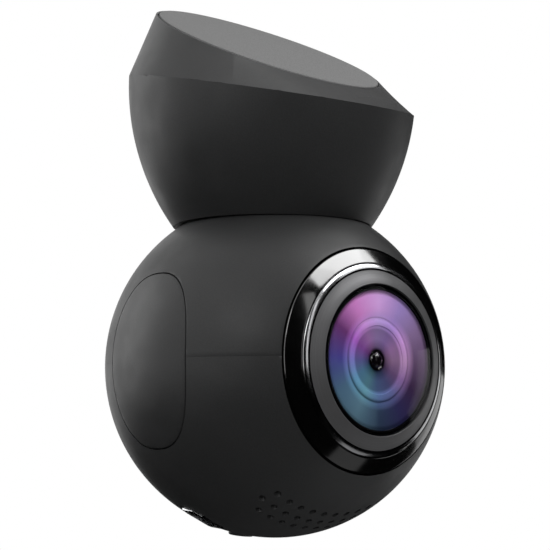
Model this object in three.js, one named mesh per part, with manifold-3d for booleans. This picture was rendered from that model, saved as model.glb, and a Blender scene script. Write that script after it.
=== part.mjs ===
// A dash camera: a ball with a lens and a small round screen, held in a magnetic cup that is
// stuck to a windshield by a foam pad. Lengths are in millimetres and +Z is up. The lens looks
// along -Y and the screen along +Y. The origin is the middle of the pad's sticky face.
// Everything is placed from the middle of the ball, and the whole camera is moved at the end.

import * as THREE from 'three';
import { mergeVertices } from 'three/addons/utils/BufferGeometryUtils.js';
import Module from 'manifold-3d';

const wasm = await Module();
wasm.setup();

// Fits that every piece follows
const clearance = 0.3; // gap to the piece that a piece rests on or sits in
const screwGap = 0.25; // gap round a screw's shank
const cutOverrun = 3; // how far a cutting shape passes the face that it cuts
const rootDepth = 0.6; // how far a boss or rib grows into the wall that carries it
const weldDistance = 0.0001; // points closer than this are one point

// Facets of round shapes
const ballFacets = 36;
const ballBands = 16;
const turnedFacets = 24;
const smallFacets = 8;
const holeFacets = 6;
const ovalFacets = 28;
const arcBands = 3;
const cornerFacets = 3;
const wallBands = 7;

// The ball and its two shells
const ballRadius = 27;
const shellWall = 1.8;
const seamGap = 0.2; // line between two moulded halves

// The cup of the mount, with heights counted from the top of its hollow seat
const mountSetback = 0.65; // the mount's own axis lies this far behind the ball's middle
const rimRadius = 16.1;
const rimLand = 0.2; // width of the rim where it is narrowest, at the front
const cupRadius = 23.23;
const cupWall = 2.2;
const widestRise = 18.05;
const ridgeRise = 16.6;
const ridgeTilt = THREE.MathUtils.degToRad(12.1);
const seatFloor = 1.3;
const pocketWall = 1.2;

// The ring that the ball turns on, between two angles from the upright axis
const seatRingInnerAngle = THREE.MathUtils.degToRad(20);
const seatRingOuterAngle = THREE.MathUtils.degToRad(28);
const seatRingThickness = 1.2;

// The cap of the mount and its foam pad
const padRise = 24.8;
const padSetback = 0.7; // the pad's middle lies this far behind the mount's axis
const padTilt = THREE.MathUtils.degToRad(27.1);
const padRadius = 18.6;
const padThickness = 1.1;
const padProud = 0.25;
const capEdge = 0.3; // the thin edge left round the pad
const capPlate = 1.2;
const spigotDepth = 3;
const spigotWall = 1.8;

// The magnet and its steel back plate
const magnetRadius = 11.5;
const magnetThickness = 5;
const yokeThickness = 1.5;
const yokeScrews = 3;

// One size of self-tapping screw for the whole camera
const shankRadius = 0.85;
const shankLength = 4.5;
const headRadius = 1.6;
const headHeight = 1;
const recessWidth = 0.5;
const recessLength = 1.9;
const recessDepth = 0.6;
const bossWall = 1.15; // plastic round a screw hole

// The front: frame, gloss bezel, metal ring and domed cover
const bezelRadius = 17;
const bezelWidth = 2.3;
const bezelEdge = 1.48; // height of the bezel's outer wall
const bezelStep = 0.35; // how far the bezel's inner edge lies under the metal ring's crest
const frameThickness = 2.5;
const frameEdge = 1; // plastic left between a screw's sink and the frame's edge
const counterboreDepth = 1.6;
const shellBossLength = 5;
const shellBossAngle = THREE.MathUtils.degToRad(35);
const ribWidth = 1.6;
const ringRadius = 14.4;
const ringCrest = 0.8; // width of the metal ring's bright crest
const ringSink = 0.09; // how far the crest lies under the ball's surface
const ringCone = 1.1; // how far the cone climbs from the crest to the glass
const coverRadius = 11.2;
const coverRise = 2.7;
const coverThickness = 1;
const coverRim = 1;

// The lens and its sensor
const barrelRadius = 10.2;
const barrelHeadLength = 6;
const barrelTaper = 2;
const barrelTailRadius = 7;
const barrelFootRadius = 8.6;
const barrelFootThickness = 1.5;
const elementRise = 1.7;
const elementEdge = 0.8;
const elementCentre = 1.9;
const chamberRadius = 6.5;
const chamberDepth = 3.2;
const apertureThickness = 0.6;
const apertureRadius = 1.7;
const rearLensRadius = 5.2;
const rearLensEdge = 1.4;
const rearLensRise = 0.9;
const filterRadius = 4.6;
const filterThickness = 0.5;
const filterLedge = 1;
const sensorWidth = 7;
const sensorHeight = 5.6;
const sensorThickness = 1.1;
const sensorBoardDepth = 4.8; // front face of the sensor board, from the middle of the ball
const sensorBoardHeight = 18;
const sensorBoardThickness = 1;
const microphoneRadius = 2;
const microphoneHeight = 1.2;

// The back: frame, bezel, screen and window
const windowRadius = 15.2;
const windowThickness = 0.9;
const windowRecess = 0.25; // the flat window lies this far under the ball's surface at its edge
const windowLedge = 0.8;
const screenThickness = 1.3;

// The main board and what stands on it
const boardDepth = 6; // front face of the board, behind the middle of the ball
const boardThickness = 1.2;
const boardSide = 19.6;
const shieldWidth = 14;
const shieldHeight = 12;
const shieldThickness = 1.9;
const shieldCentre = 4.5;
const batteryWidth = 17;
const batteryHeight = 20;
const batteryThickness = 5;
const batteryCentre = 1;
const batteryCorner = 2;
const boardPostAngles = [0, 90, 240].map(THREE.MathUtils.degToRad);

// Sockets on the lower edge of the board, by their angle from straight down
const usbAngle = THREE.MathUtils.degToRad(-25.5);
const usbWidth = 6.4;
const usbHeight = 3.9;
const usbWall = 0.35;
const usbChamfer = 1.2;
const usbLength = 9;
const usbProud = 0.3;
const usbTongueWidth = 3.7;
const usbTongueThickness = 0.6;
const usbTongueSetback = 1;
const cardAngle = THREE.MathUtils.degToRad(24);
const cardWidth = 11;
const cardLength = 15;
const cardThickness = 0.8;
const cardSink = 0.5; // the card's edge lies this far under the ball's surface at its middle
const cardNotch = 1.3;
const cardNotchLength = 8;
const cardSocketWall = 0.3;
const cardSocketCheek = 1.2;

// Keys, with the switch that each one works
const keyHalfWidth = 8.85;
const keyHalfHeight = 13.2;
const keyPower = 2.4; // 2 would make the oval an ellipse, and more makes it squarer
const keyShift = 0.2; // the oval's middle lies this far behind the ball's middle
const keyLip = 1.2;
const keyLipThickness = 1.1;
const keyTravel = 0.4;
const keyStemRadius = 1.3;
const switchLength = 2.6;
const switchHeight = 3.6;
const switchWidth = 5;
const plungerRadius = 0.7;
const plungerProud = 1;
const plungerSeat = 0.7;
const resetAngle = THREE.MathUtils.degToRad(-8);
const resetRadius = 2;
const resetProud = 0.3;
const resetLip = 0.5;
const resetLipThickness = 0.7;
const resetTravel = 0.25;
const resetSwitchFace = 22.4; // from the middle of the ball
const resetSwitchLength = 1.8;
const resetSwitchWidth = 2.8;
const resetPlungerProud = 0.5;

// The loudspeaker and the holes in front of it
const grillePitch = 2.36;
const grilleHoleRadius = 0.53;
const grilleRowPitch = 2.15;
const grilleRows = [11, 12, 11];
const grilleForward = 11.6; // the middle row lies this far in front of the ball's middle
const speakerWidth = 20;
const speakerHeight = 12;
const speakerThickness = 4;
const speakerCorner = 2;
const gasketInset = 1.2;
const gasketWall = 1.5;

// The steel cap inside the top of the ball that the magnet pulls on
const keeperAngle = THREE.MathUtils.degToRad(38);
const keeperThickness = 1.2;

// Places worked out from the sizes above
const innerRadius = ballRadius - shellWall;
const seatRadius = ballRadius + clearance;
const rimInnerRadius = rimRadius - mountSetback - rimLand;
const rimAngle = Math.asin(rimInnerRadius / seatRadius);
const rimHeight = seatRadius * Math.cos(rimAngle);
const widestHeight = seatRadius + widestRise;
const ridgeHeight = seatRadius + ridgeRise;
const flareSwell = cupRadius - rimRadius;
const flareDrop = widestHeight - rimHeight;
const flareRadius = (flareSwell ** 2 + flareDrop ** 2) / (2 * flareSwell);
const floorHeight = seatRadius + seatFloor;
const magnetHeight = floorHeight + clearance;
const magnetTop = magnetHeight + magnetThickness;
const yokeHeight = magnetTop + clearance;
const bossRadius = shankRadius + screwGap + bossWall;
const pocketRadius = magnetRadius + clearance;
const yokeScrewCircle = pocketRadius + clearance + bossRadius;
const yokeRadius = yokeScrewCircle + bossRadius;
const padCentre = new THREE.Vector3(0, mountSetback + padSetback, seatRadius + padRise);
const padNormal = new THREE.Vector3(0, -Math.sin(padTilt), Math.cos(padTilt));
const recessRadius = padRadius + clearance;
const capTopRadius = recessRadius + capEdge;
const spigotFoot = ridgeHeight - cupRadius * Math.tan(ridgeTilt) - spigotDepth;
const spigotRadius = cupRadiusAt(spigotFoot) - cupWall - clearance;
const frameRadius = bezelRadius - clearance;
const bezelFoot = surfaceDepth(bezelRadius) - bezelEdge;
const frameDepth = bezelFoot - clearance;
const frameBack = frameDepth - frameThickness;
const frameScrewCircle = frameRadius - frameEdge - clearance - headRadius;
const bezelInnerRadius = bezelRadius - bezelWidth;
const ringCrestDepth = surfaceDepth(ringRadius) - ringSink;
const bezelInnerDepth = ringCrestDepth - bezelStep;
const coverSeat = ringCrestDepth - clearance;
const coverFoot = coverSeat + clearance;
const coverEdgeDepth = coverFoot + coverRim;
const coverBore = coverRadius + clearance;
const barrelBore = barrelRadius + clearance;
const barrelFoot = sensorBoardDepth + clearance;
const barrelFront = bezelFoot + 2 * clearance;
const elementFoot = barrelFront + clearance;
const postOffset = barrelBore + clearance + bossRadius;
const boardFace = boardDepth - clearance;
const boardBack = boardDepth + boardThickness;
const usbDepth = boardFace - usbHeight / 2;
const cardSocketHeight = cardThickness + 2 * clearance + 2 * cardSocketWall;
const cardDepth = boardFace - cardSocketHeight / 2;
const switchDepth = boardFace - switchHeight / 2;
const keyBack = innerRadius - clearance - keyLipThickness;
const keeperOuter = innerRadius - clearance;
const keeperInner = keeperOuter - keeperThickness;
const grilleAngle = Math.asin(grilleForward / ballRadius);

// How far the ball's surface stands from its middle plane, at one distance from the axis
function surfaceDepth(radius) {
  return Math.sqrt(ballRadius ** 2 - radius ** 2);
}

// Directions that a turned shape's axis can take
const up = new THREE.Matrix4().makeRotationX(Math.PI / 2);
const forward = new THREE.Matrix4().makeRotationZ(Math.PI);
const backward = new THREE.Matrix4();
const mountAxis = new THREE.Matrix4().makeTranslation(0, mountSetback, 0).multiply(up);

// Shapes

function solidFrom(geometry, matrix) {
  const bare = geometry.clone();
  bare.deleteAttribute('normal');
  bare.deleteAttribute('uv');
  const welded = mergeVertices(bare, weldDistance);
  if (matrix) {
    welded.applyMatrix4(matrix);
  }
  const corners = welded.index.array;
  const kept = [];
  for (let i = 0; i < corners.length; i += 3) {
    const [a, b, c] = corners.slice(i, i + 3);
    if (a !== b && b !== c && c !== a) {
      kept.push(a, b, c);
    }
  }
  const vertProperties = new Float32Array(welded.attributes.position.array);
  const triVerts = new Uint32Array(kept);
  return new wasm.Manifold(new wasm.Mesh({ numProp: 3, vertProperties, triVerts }));
}

function geometryFrom(solid) {
  const mesh = solid.getMesh();
  const geometry = new THREE.BufferGeometry();
  geometry.setAttribute('position', new THREE.BufferAttribute(mesh.vertProperties, mesh.numProp));
  geometry.setIndex(new THREE.BufferAttribute(mesh.triVerts, 1));
  geometry.computeVertexNormals();
  return geometry;
}

function point(radius, height) {
  return new THREE.Vector2(radius, height);
}

// Points of an arc round the ball's middle, from one angle off the axis to another
function ballArc(radius, fromAngle, toAngle, bands = arcBands) {
  const points = [];
  for (let i = 0; i <= bands; i++) {
    const angle = THREE.MathUtils.lerp(fromAngle, toAngle, i / bands);
    points.push(point(radius * Math.sin(angle), radius * Math.cos(angle)));
  }
  return points;
}

// Points of a shallow dome's arc, from its axis out to its edge
function domeArc(edgeRadius, edgeHeight, rise, bands = arcBands) {
  const curve = (edgeRadius ** 2 + rise ** 2) / (2 * rise);
  const middle = edgeHeight + rise - curve;
  const edgeAngle = Math.asin(edgeRadius / curve);
  return ballArc(curve, 0, edgeAngle, bands).map((spot) => point(spot.x, spot.y + middle));
}

function turned(profile, matrix = backward, facets = turnedFacets) {
  const outline = THREE.ShapeUtils.isClockWise(profile) ? [...profile].reverse() : profile;
  const closed = outline[0].x === 0 ? outline : [...outline, outline[0]];
  return solidFrom(new THREE.LatheGeometry(closed, facets), matrix);
}

function rod(radius, from, to, matrix = backward, facets = turnedFacets) {
  return turned([point(0, from), point(radius, from), point(radius, to), point(0, to)], matrix, facets);
}

function tube(inner, outer, from, to, matrix = backward, facets = turnedFacets) {
  const profile = [point(inner, from), point(outer, from), point(outer, to), point(inner, to)];
  return turned(profile, matrix, facets);
}

function ball(radius) {
  const profile = ballArc(radius, Math.PI, 0, ballBands);
  profile[0].x = 0;
  return turned(profile, backward, ballFacets);
}

function block(sizeX, sizeY, sizeZ, matrix) {
  return solidFrom(new THREE.BoxGeometry(sizeX, sizeY, sizeZ), matrix);
}

// A block between two heights, centred on the upright axis of its own frame
function slab(sizeX, sizeY, from, to, matrix = backward) {
  const lifted = matrix.clone().multiply(shift(0, 0, (from + to) / 2));
  return block(sizeX, sizeY, to - from, lifted);
}

function prism(shape, from, to, matrix, curveSegments = cornerFacets) {
  const settings = { depth: to - from, bevelEnabled: false, curveSegments };
  const geometry = new THREE.ExtrudeGeometry(shape, settings);
  geometry.translate(0, 0, from);
  return solidFrom(geometry, matrix);
}

function middleOf(loop) {
  return loop.reduce((sum, spot) => sum.add(spot), new THREE.Vector3()).divideScalar(loop.length);
}

// A closed skin between two loops of points, with a flat face over each loop
function loft(lower, upper) {
  const count = lower.length;
  const spots = [...lower, ...upper, middleOf(lower), middleOf(upper)];
  const faces = [];
  for (let i = 0; i < count; i++) {
    const next = (i + 1) % count;
    faces.push(i, next, count + i, count + i, next, count + next);
    faces.push(2 * count, next, i, 2 * count + 1, count + i, count + next);
  }
  const geometry = new THREE.BufferGeometry().setFromPoints(spots);
  geometry.setIndex(faces);
  return solidFrom(geometry);
}

function shift(x, y, z) {
  return new THREE.Matrix4().makeTranslation(x, y, z);
}

function joined(...solids) {
  return solids.reduce((whole, solid) => whole.add(solid));
}

function cut(solid, ...cutters) {
  return cutters.reduce((rest, cutter) => rest.subtract(cutter), solid);
}

function roundedRectangle(width, height, corner) {
  const shape = new THREE.Shape();
  const x = width / 2 - corner;
  const y = height / 2 - corner;
  shape.absarc(x, y, corner, 0, Math.PI / 2);
  shape.absarc(-x, y, corner, Math.PI / 2, Math.PI);
  shape.absarc(-x, -y, corner, Math.PI, 1.5 * Math.PI);
  shape.absarc(x, -y, corner, 1.5 * Math.PI, 2 * Math.PI);
  return shape;
}

function part(name, solid, material) {
  const mesh = new THREE.Mesh(geometryFrom(solid), material);
  mesh.name = name;
  return mesh;
}

// Materials

function finish(color, roughness, metalness = 0) {
  return new THREE.MeshStandardMaterial({ color, roughness, metalness });
}

function mattePlastic() {
  return finish(0x3b3c3d, 0.55);
}

function keyPlastic() {
  return finish(0x404142, 0.5);
}

function innerPlastic() {
  return finish(0x202122, 0.6);
}

function glossPlastic() {
  return finish(0x050506, 0.08);
}

function brightMetal() {
  return finish(0x8c8d8f, 0.25, 1);
}

function steel() {
  return finish(0x9a9da0, 0.35, 1);
}

function magnetPlating() {
  return finish(0xb4b6ba, 0.2, 1);
}

function foam() {
  return finish(0x7f7f7f, 0.95);
}

function slidePlastic() {
  return finish(0x2a2a2b, 0.4);
}

function clearGlass() {
  const material = finish(0xf2f4f8, 0.03);
  material.transparent = true;
  material.opacity = 0.3;
  return material;
}

function coatedGlass() {
  return finish(0x6a4f9e, 0.05);
}

function filterGlass() {
  return finish(0x5aa0a8, 0.05);
}

function boardLaminate() {
  return finish(0x14431f, 0.5);
}

function chipCeramic() {
  return finish(0x17181a, 0.4);
}

function cellFoil() {
  return finish(0xa9acb0, 0.35, 0.6);
}

function whitePlastic() {
  return finish(0xd8d8d6, 0.5);
}

function screenGlass() {
  return finish(0x0a0c10, 0.1);
}

function cardPlastic() {
  return finish(0x121214, 0.45);
}

// The mount

function cupRadiusAt(height) {
  return cupRadius - flareRadius + Math.sqrt(flareRadius ** 2 - (height - widestHeight) ** 2);
}

// Frame of the sloping ridge where cup and cap meet, lifted by a given height
function ridgeFrame(lift) {
  const tilt = new THREE.Matrix4().makeRotationX(ridgeTilt);
  return shift(0, mountSetback, ridgeHeight + lift).multiply(tilt);
}

// Frame of the pad's face, sunk by a given depth
function padFrame(depth) {
  const middle = padCentre.clone().addScaledVector(padNormal, -depth);
  const tilt = new THREE.Matrix4().makeRotationX(padTilt);
  return shift(middle.x, middle.y, middle.z).multiply(tilt);
}

function cupProfile() {
  const highest = ridgeHeight + cupRadius * Math.tan(ridgeTilt) + cutOverrun;
  const outer = [];
  const inner = [];
  for (let i = 0; i <= wallBands; i++) {
    const outerHeight = THREE.MathUtils.lerp(rimHeight, highest, i / wallBands);
    const innerHeight = THREE.MathUtils.lerp(highest, floorHeight, i / wallBands);
    outer.push(point(cupRadiusAt(outerHeight), outerHeight));
    inner.push(point(cupRadiusAt(innerHeight) - cupWall, innerHeight));
  }
  outer[0].x = rimRadius;
  return [point(0, rimHeight), ...outer, ...inner, point(0, floorHeight)];
}

// The hollow that the ball turns in, with the groove for its ring
function seatHollow() {
  const grooveRadius = seatRadius + seatRingThickness + clearance;
  const seatTop = ballArc(seatRadius, 0, seatRingInnerAngle);
  const groove = ballArc(grooveRadius, seatRingInnerAngle, seatRingOuterAngle);
  const seatEdge = ballArc(seatRadius, seatRingOuterAngle, rimAngle);
  const mouth = point(rimInnerRadius, rimHeight - cutOverrun);
  const profile = [...seatTop, ...groove, ...seatEdge, mouth, point(0, rimHeight - cutOverrun)];
  return turned(profile, up, ballFacets);
}

function yokeSpots() {
  const spots = [];
  for (let i = 0; i < yokeScrews; i++) {
    const angle = Math.PI / 6 + (2 * Math.PI * i) / yokeScrews;
    const y = mountSetback + yokeScrewCircle * Math.sin(angle);
    spots.push({ x: yokeScrewCircle * Math.cos(angle), y });
  }
  return spots;
}

function mountCup() {
  const bossFoot = floorHeight - rootDepth;
  const pocket = tube(pocketRadius, pocketRadius + pocketWall, bossFoot, magnetTop, mountAxis);
  const bosses = [];
  const holes = [];
  for (const { x, y } of yokeSpots()) {
    const place = shift(x, y, 0).multiply(up);
    bosses.push(rod(bossRadius, bossFoot, magnetTop, place, smallFacets));
    holes.push(rod(shankRadius + screwGap, floorHeight, magnetTop + cutOverrun, place, smallFacets));
  }
  const reach = 2 * (cupRadius + cutOverrun);
  const sky = slab(reach, reach, 0, reach, ridgeFrame(-seamGap / 2));
  const shell = cut(turned(cupProfile(), mountAxis, ballFacets), seatHollow());
  return part('mount_cup', cut(joined(shell, pocket, ...bosses), sky, ...holes), mattePlastic());
}

// Where the outside of the mount meets the ridge, at one angle round the mount's axis
function ridgePoint(angle, lift) {
  const settlingRounds = 8;
  let radius = cupRadius;
  let height = ridgeHeight;
  for (let round = 0; round < settlingRounds; round++) {
    height = ridgeHeight + lift + radius * Math.sin(angle) * Math.tan(ridgeTilt);
    radius = cupRadiusAt(height);
  }
  height = ridgeHeight + lift + radius * Math.sin(angle) * Math.tan(ridgeTilt);
  return new THREE.Vector3(radius * Math.cos(angle), mountSetback + radius * Math.sin(angle), height);
}

function capBody() {
  const lower = [];
  const upper = [];
  for (let i = 0; i < ballFacets; i++) {
    const angle = (2 * Math.PI * i) / ballFacets;
    const edge = new THREE.Vector3(capTopRadius * Math.cos(angle), capTopRadius * Math.sin(angle), 0);
    lower.push(ridgePoint(angle, seamGap / 2));
    upper.push(edge.applyMatrix4(padFrame(padProud)));
  }
  return loft(lower, upper);
}

function mountCap() {
  const padFloor = padThickness + clearance;
  const hollowRadius = spigotRadius - spigotWall;
  const reach = 2 * (cupRadius + cutOverrun);
  const plate = slab(reach, reach, 0, reach, padFrame(padFloor + capPlate));
  const hollow = cut(rod(hollowRadius, 0, reach + ridgeHeight, mountAxis, ballFacets), plate);
  const recess = rod(recessRadius, -padFloor, cutOverrun, padFrame(0).multiply(up), ballFacets);
  const sleeveTip = reach + ridgeHeight;
  const sleeveFoot = spigotFoot - cutOverrun;
  const sleeve = tube(hollowRadius, spigotRadius, sleeveFoot, sleeveTip, mountAxis, ballFacets);
  const band = slab(reach, reach, -spigotDepth, rootDepth, ridgeFrame(0));
  const body = joined(cut(capBody(), hollow), sleeve.intersect(band));
  return part('mount_cap', cut(body, recess), mattePlastic());
}

function adhesivePad() {
  const disc = rod(padRadius, -padThickness, 0, padFrame(0).multiply(up), ballFacets);
  return part('adhesive_pad', disc, foam());
}

function mountMagnet() {
  const disc = rod(magnetRadius, magnetHeight, magnetTop, mountAxis);
  return part('mount_magnet', disc, magnetPlating());
}

function magnetYoke() {
  const plate = rod(yokeRadius, yokeHeight, yokeHeight + yokeThickness, mountAxis);
  const reach = yokeHeight + yokeThickness + cutOverrun;
  const holes = yokeSpots().map(({ x, y }) => {
    return rod(shankRadius + screwGap, magnetHeight, reach, shift(x, y, 0).multiply(up), smallFacets);
  });
  return part('magnet_yoke', cut(plate, ...holes), steel());
}

function seatRing() {
  const slack = clearance / seatRadius;
  const from = seatRingInnerAngle + slack;
  const to = seatRingOuterAngle - slack;
  const inside = ballArc(seatRadius, from, to);
  const outside = ballArc(seatRadius + seatRingThickness, to, from);
  return part('seat_ring', turned([...inside, ...outside], up, ballFacets), slidePlastic());
}

// Screws: the head's underside is at the origin of the screw's own frame

function screwGeometry() {
  const core = turned([
    point(0, -shankLength),
    point(shankRadius, -shankLength),
    point(shankRadius, 0),
    point(headRadius, 0),
    point(headRadius, headHeight),
    point(0, headHeight),
  ], backward, smallFacets);
  const slotMiddle = shift(0, headHeight, 0);
  const slotAlong = block(recessLength, 2 * recessDepth, recessWidth, slotMiddle);
  const slotAcross = block(recessWidth, 2 * recessDepth, recessLength, slotMiddle);
  return geometryFrom(cut(core, slotAlong, slotAcross));
}

const oneScrew = screwGeometry();

function screw(name, matrix) {
  const mesh = new THREE.Mesh(oneScrew.clone().applyMatrix4(matrix), steel());
  mesh.name = name;
  return mesh;
}

function screwRow(prefix, matrices) {
  return matrices.map((matrix, i) => screw(`${prefix}_${i + 1}`, matrix));
}

// The shells

// Middles of the four screws that hold a frame to the shells, as seen along the frame's axis
function frameSpots() {
  const angles = [shellBossAngle, Math.PI - shellBossAngle, Math.PI + shellBossAngle, -shellBossAngle];
  return angles.map(frameSpot);
}

function frameSpot(angle) {
  return { angle, x: frameScrewCircle * Math.cos(angle), z: frameScrewCircle * Math.sin(angle) };
}

function boardSpots() {
  return boardPostAngles.map(frameSpot);
}

// A screw boss behind a frame, with the rib that joins it to the shell's wall
function shellBoss(spot, axis) {
  const tip = frameBack - clearance;
  const foot = tip - shellBossLength;
  const place = axis.clone().multiply(shift(spot.x, 0, spot.z));
  const post = rod(bossRadius, foot, tip, place, smallFacets);
  const ribLength = ballRadius - frameScrewCircle;
  const turn = new THREE.Matrix4().makeRotationY(-spot.angle);
  const ribMiddle = shift(frameScrewCircle + ribLength / 2, (foot + tip) / 2, 0);
  const rib = block(ribLength, shellBossLength, ribWidth, axis.clone().multiply(turn).multiply(ribMiddle));
  const hole = rod(shankRadius + screwGap, foot - cutOverrun, tip + cutOverrun, place, smallFacets);
  return cut(joined(post, rib.intersect(ball(innerRadius + rootDepth))), hole);
}

function oval(grow) {
  const spots = [];
  for (let i = 0; i < ovalFacets; i++) {
    const angle = (2 * Math.PI * i) / ovalFacets;
    const across = Math.cos(angle);
    const along = Math.sin(angle);
    const x = (keyHalfWidth + grow) * Math.sign(across) * Math.abs(across) ** (2 / keyPower);
    const y = (keyHalfHeight + grow) * Math.sign(along) * Math.abs(along) ** (2 / keyPower);
    spots.push(point(x, y));
  }
  return new THREE.Shape(spots);
}

// Frame of a side key or switch: its own Z points out of the ball, side is 1 for +X and -1 for -X
function sideFrame(side, depth) {
  const along = new THREE.Vector3(0, side, 0);
  const upright = new THREE.Vector3(0, 0, 1);
  const outward = new THREE.Vector3(side, 0, 0);
  return shift(0, depth, 0).multiply(new THREE.Matrix4().makeBasis(along, upright, outward));
}

// Frame of something in the ball's lower edge: its own Z points out, its own Y to the front
function edgeFrame(angle) {
  const swing = new THREE.Matrix4().makeRotationY(-angle);
  return swing.multiply(new THREE.Matrix4().makeRotationX(Math.PI));
}

function usbShape(grow) {
  const x = usbWidth / 2 + grow;
  const y = usbHeight / 2 + grow;
  const corners = [
    point(-x, -y),
    point(x, -y),
    point(x, y - usbChamfer),
    point(x - usbChamfer, y),
    point(usbChamfer - x, y),
    point(-x, y - usbChamfer),
  ];
  return new THREE.Shape(corners);
}

function usbFrame() {
  return edgeFrame(usbAngle).multiply(shift(0, -usbDepth, 0));
}

function cardFrame() {
  return edgeFrame(cardAngle).multiply(shift(0, -cardDepth, 0));
}

function resetFrame() {
  return edgeFrame(resetAngle).multiply(shift(0, -switchDepth, 0));
}

function grilleCutters() {
  const cutters = [];
  grilleRows.forEach((count, row) => {
    const y = (row - (grilleRows.length - 1) / 2) * grilleRowPitch - grilleForward;
    for (let i = 0; i < count; i++) {
      const x = (i - (count - 1) / 2) * grillePitch;
      cutters.push(rod(grilleHoleRadius, -ballRadius, 0, shift(x, y, 0).multiply(up), holeFacets));
    }
  });
  return cutters;
}

// The hollow ball with the openings that both shells share
function openBall() {
  const portRadius = bezelRadius + clearance;
  const reach = ballRadius + cutOverrun;
  const ovals = [1, -1].map((side) => prism(oval(clearance), 0, reach, sideFrame(side, keyShift)));
  const ports = [forward, backward].map((axis) => rod(portRadius, 0, reach, axis, ballFacets));
  return cut(ball(ballRadius), ball(innerRadius), ...ovals, ...ports);
}

function upperShell() {
  const reach = 2 * (ballRadius + cutOverrun);
  const above = slab(reach, reach, seamGap / 2, reach);
  const bosses = [];
  for (const spot of frameSpots().filter(({ z }) => z > 0)) {
    bosses.push(shellBoss(spot, forward), shellBoss(spot, backward));
  }
  return part('upper_shell', joined(openBall().intersect(above), ...bosses), mattePlastic());
}

function lowerShell() {
  const reach = 2 * (ballRadius + cutOverrun);
  const below = slab(reach, reach, -reach, -seamGap / 2);
  const bosses = [];
  for (const spot of frameSpots().filter(({ z }) => z < 0)) {
    bosses.push(shellBoss(spot, forward), shellBoss(spot, backward));
  }
  const usbPort = prism(usbShape(clearance), 0, reach, usbFrame());
  const slotHeight = cardThickness + 2 * clearance;
  const cardSlot = slab(cardWidth + 2 * clearance, slotHeight, 0, reach, cardFrame());
  const resetPort = rod(resetRadius + clearance, 0, reach, resetFrame().multiply(up), smallFacets);
  const shell = cut(openBall().intersect(below), usbPort, cardSlot, resetPort, ...grilleCutters());
  return part('lower_shell', joined(shell, ...bosses), mattePlastic());
}

function steelKeeper() {
  const outside = ballArc(keeperOuter, keeperAngle, 0);
  const inside = ballArc(keeperInner, 0, keeperAngle);
  return part('steel_keeper', turned([...inside, ...outside], up, ballFacets), steel());
}

// Frames: rings screwed to the shells, one behind the lens ring and one behind the screen

function frameBody(bore, axis) {
  const disc = rod(frameRadius, frameBack, frameDepth, axis, ballFacets);
  const cutters = bore > 0 ? [rod(bore, 0, ballRadius, axis, ballFacets)] : [];
  for (const { x, z } of frameSpots()) {
    const place = axis.clone().multiply(shift(x, 0, z));
    cutters.push(rod(shankRadius + screwGap, 0, ballRadius, place, smallFacets));
    const sinkFoot = frameDepth - counterboreDepth;
    cutters.push(rod(headRadius + clearance, sinkFoot, ballRadius, place, smallFacets));
  }
  return cut(disc, ...cutters);
}

function frameScrewPlaces(axis) {
  const seat = frameDepth - counterboreDepth + clearance;
  return frameSpots().map(({ x, z }) => axis.clone().multiply(shift(x, seat, z)));
}

function drilledPost(place, foot, tip) {
  const post = rod(bossRadius, foot, tip, place, smallFacets);
  return cut(post, rod(shankRadius + screwGap, foot - cutOverrun, tip - bossWall, place, smallFacets));
}

function sensorScrewSpots() {
  return [shift(postOffset, 0, 0), shift(-postOffset, 0, 0)];
}

function frontFrame() {
  const posts = sensorScrewSpots().map((spot) => {
    const place = forward.clone().multiply(spot);
    return drilledPost(place, sensorBoardDepth + clearance, frameBack + rootDepth);
  });
  return part('front_frame', joined(frameBody(barrelBore, forward), ...posts), innerPlastic());
}

function rearFrame() {
  const posts = boardSpots().map(({ x, z }) => {
    return drilledPost(shift(x, 0, z), boardBack + clearance, frameBack + rootDepth);
  });
  return part('rear_frame', joined(frameBody(0, backward), ...posts), innerPlastic());
}

// The front of the camera

function bezelRing() {
  const edgeAngle = Math.asin(bezelRadius / ballRadius);
  const innerAngle = Math.atan2(bezelInnerRadius, bezelInnerDepth);
  const innerReach = Math.hypot(bezelInnerRadius, bezelInnerDepth);
  const face = ballArc(ballRadius, edgeAngle, innerAngle).map((spot, i) => {
    const sink = (ballRadius - innerReach) * (i / arcBands) / ballRadius;
    return spot.multiplyScalar(1 - sink);
  });
  const foot = [point(bezelInnerRadius, bezelFoot), point(bezelRadius, bezelFoot)];
  return part('bezel_ring', turned([...foot, ...face], forward, ballFacets), glossPlastic());
}

function lensRing() {
  const crestBevel = ringCrest / 3;
  const profile = [
    point(barrelBore, bezelFoot),
    point(ringRadius, bezelFoot),
    point(ringRadius, ringCrestDepth - crestBevel),
    point(ringRadius - crestBevel, ringCrestDepth),
    point(ringRadius - ringCrest, ringCrestDepth),
    point(coverBore, ringCrestDepth + ringCone),
    point(coverBore, coverSeat),
    point(barrelBore, coverSeat),
  ];
  return part('lens_ring', turned(profile, forward, ballFacets), brightMetal());
}

function lensCover() {
  const outside = domeArc(coverRadius, coverEdgeDepth, coverRise);
  const inside = domeArc(coverRadius - coverThickness, coverEdgeDepth - coverThickness / 2, coverRise);
  const foot = [point(coverRadius, coverFoot), point(coverRadius - coverThickness, coverFoot)];
  const profile = [...outside, ...foot, ...inside.reverse()];
  return part('lens_cover', turned(profile, forward), clearGlass());
}

function barrelChambers() {
  const filterSeat = barrelFoot + sensorThickness + filterThickness + 3 * clearance;
  const apertureSeat = barrelFront - chamberDepth;
  const lensSeat = apertureSeat - rearLensEdge - 2 * rearLensRise - 2 * clearance;
  return { filterSeat, lensSeat, apertureSeat };
}

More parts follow.
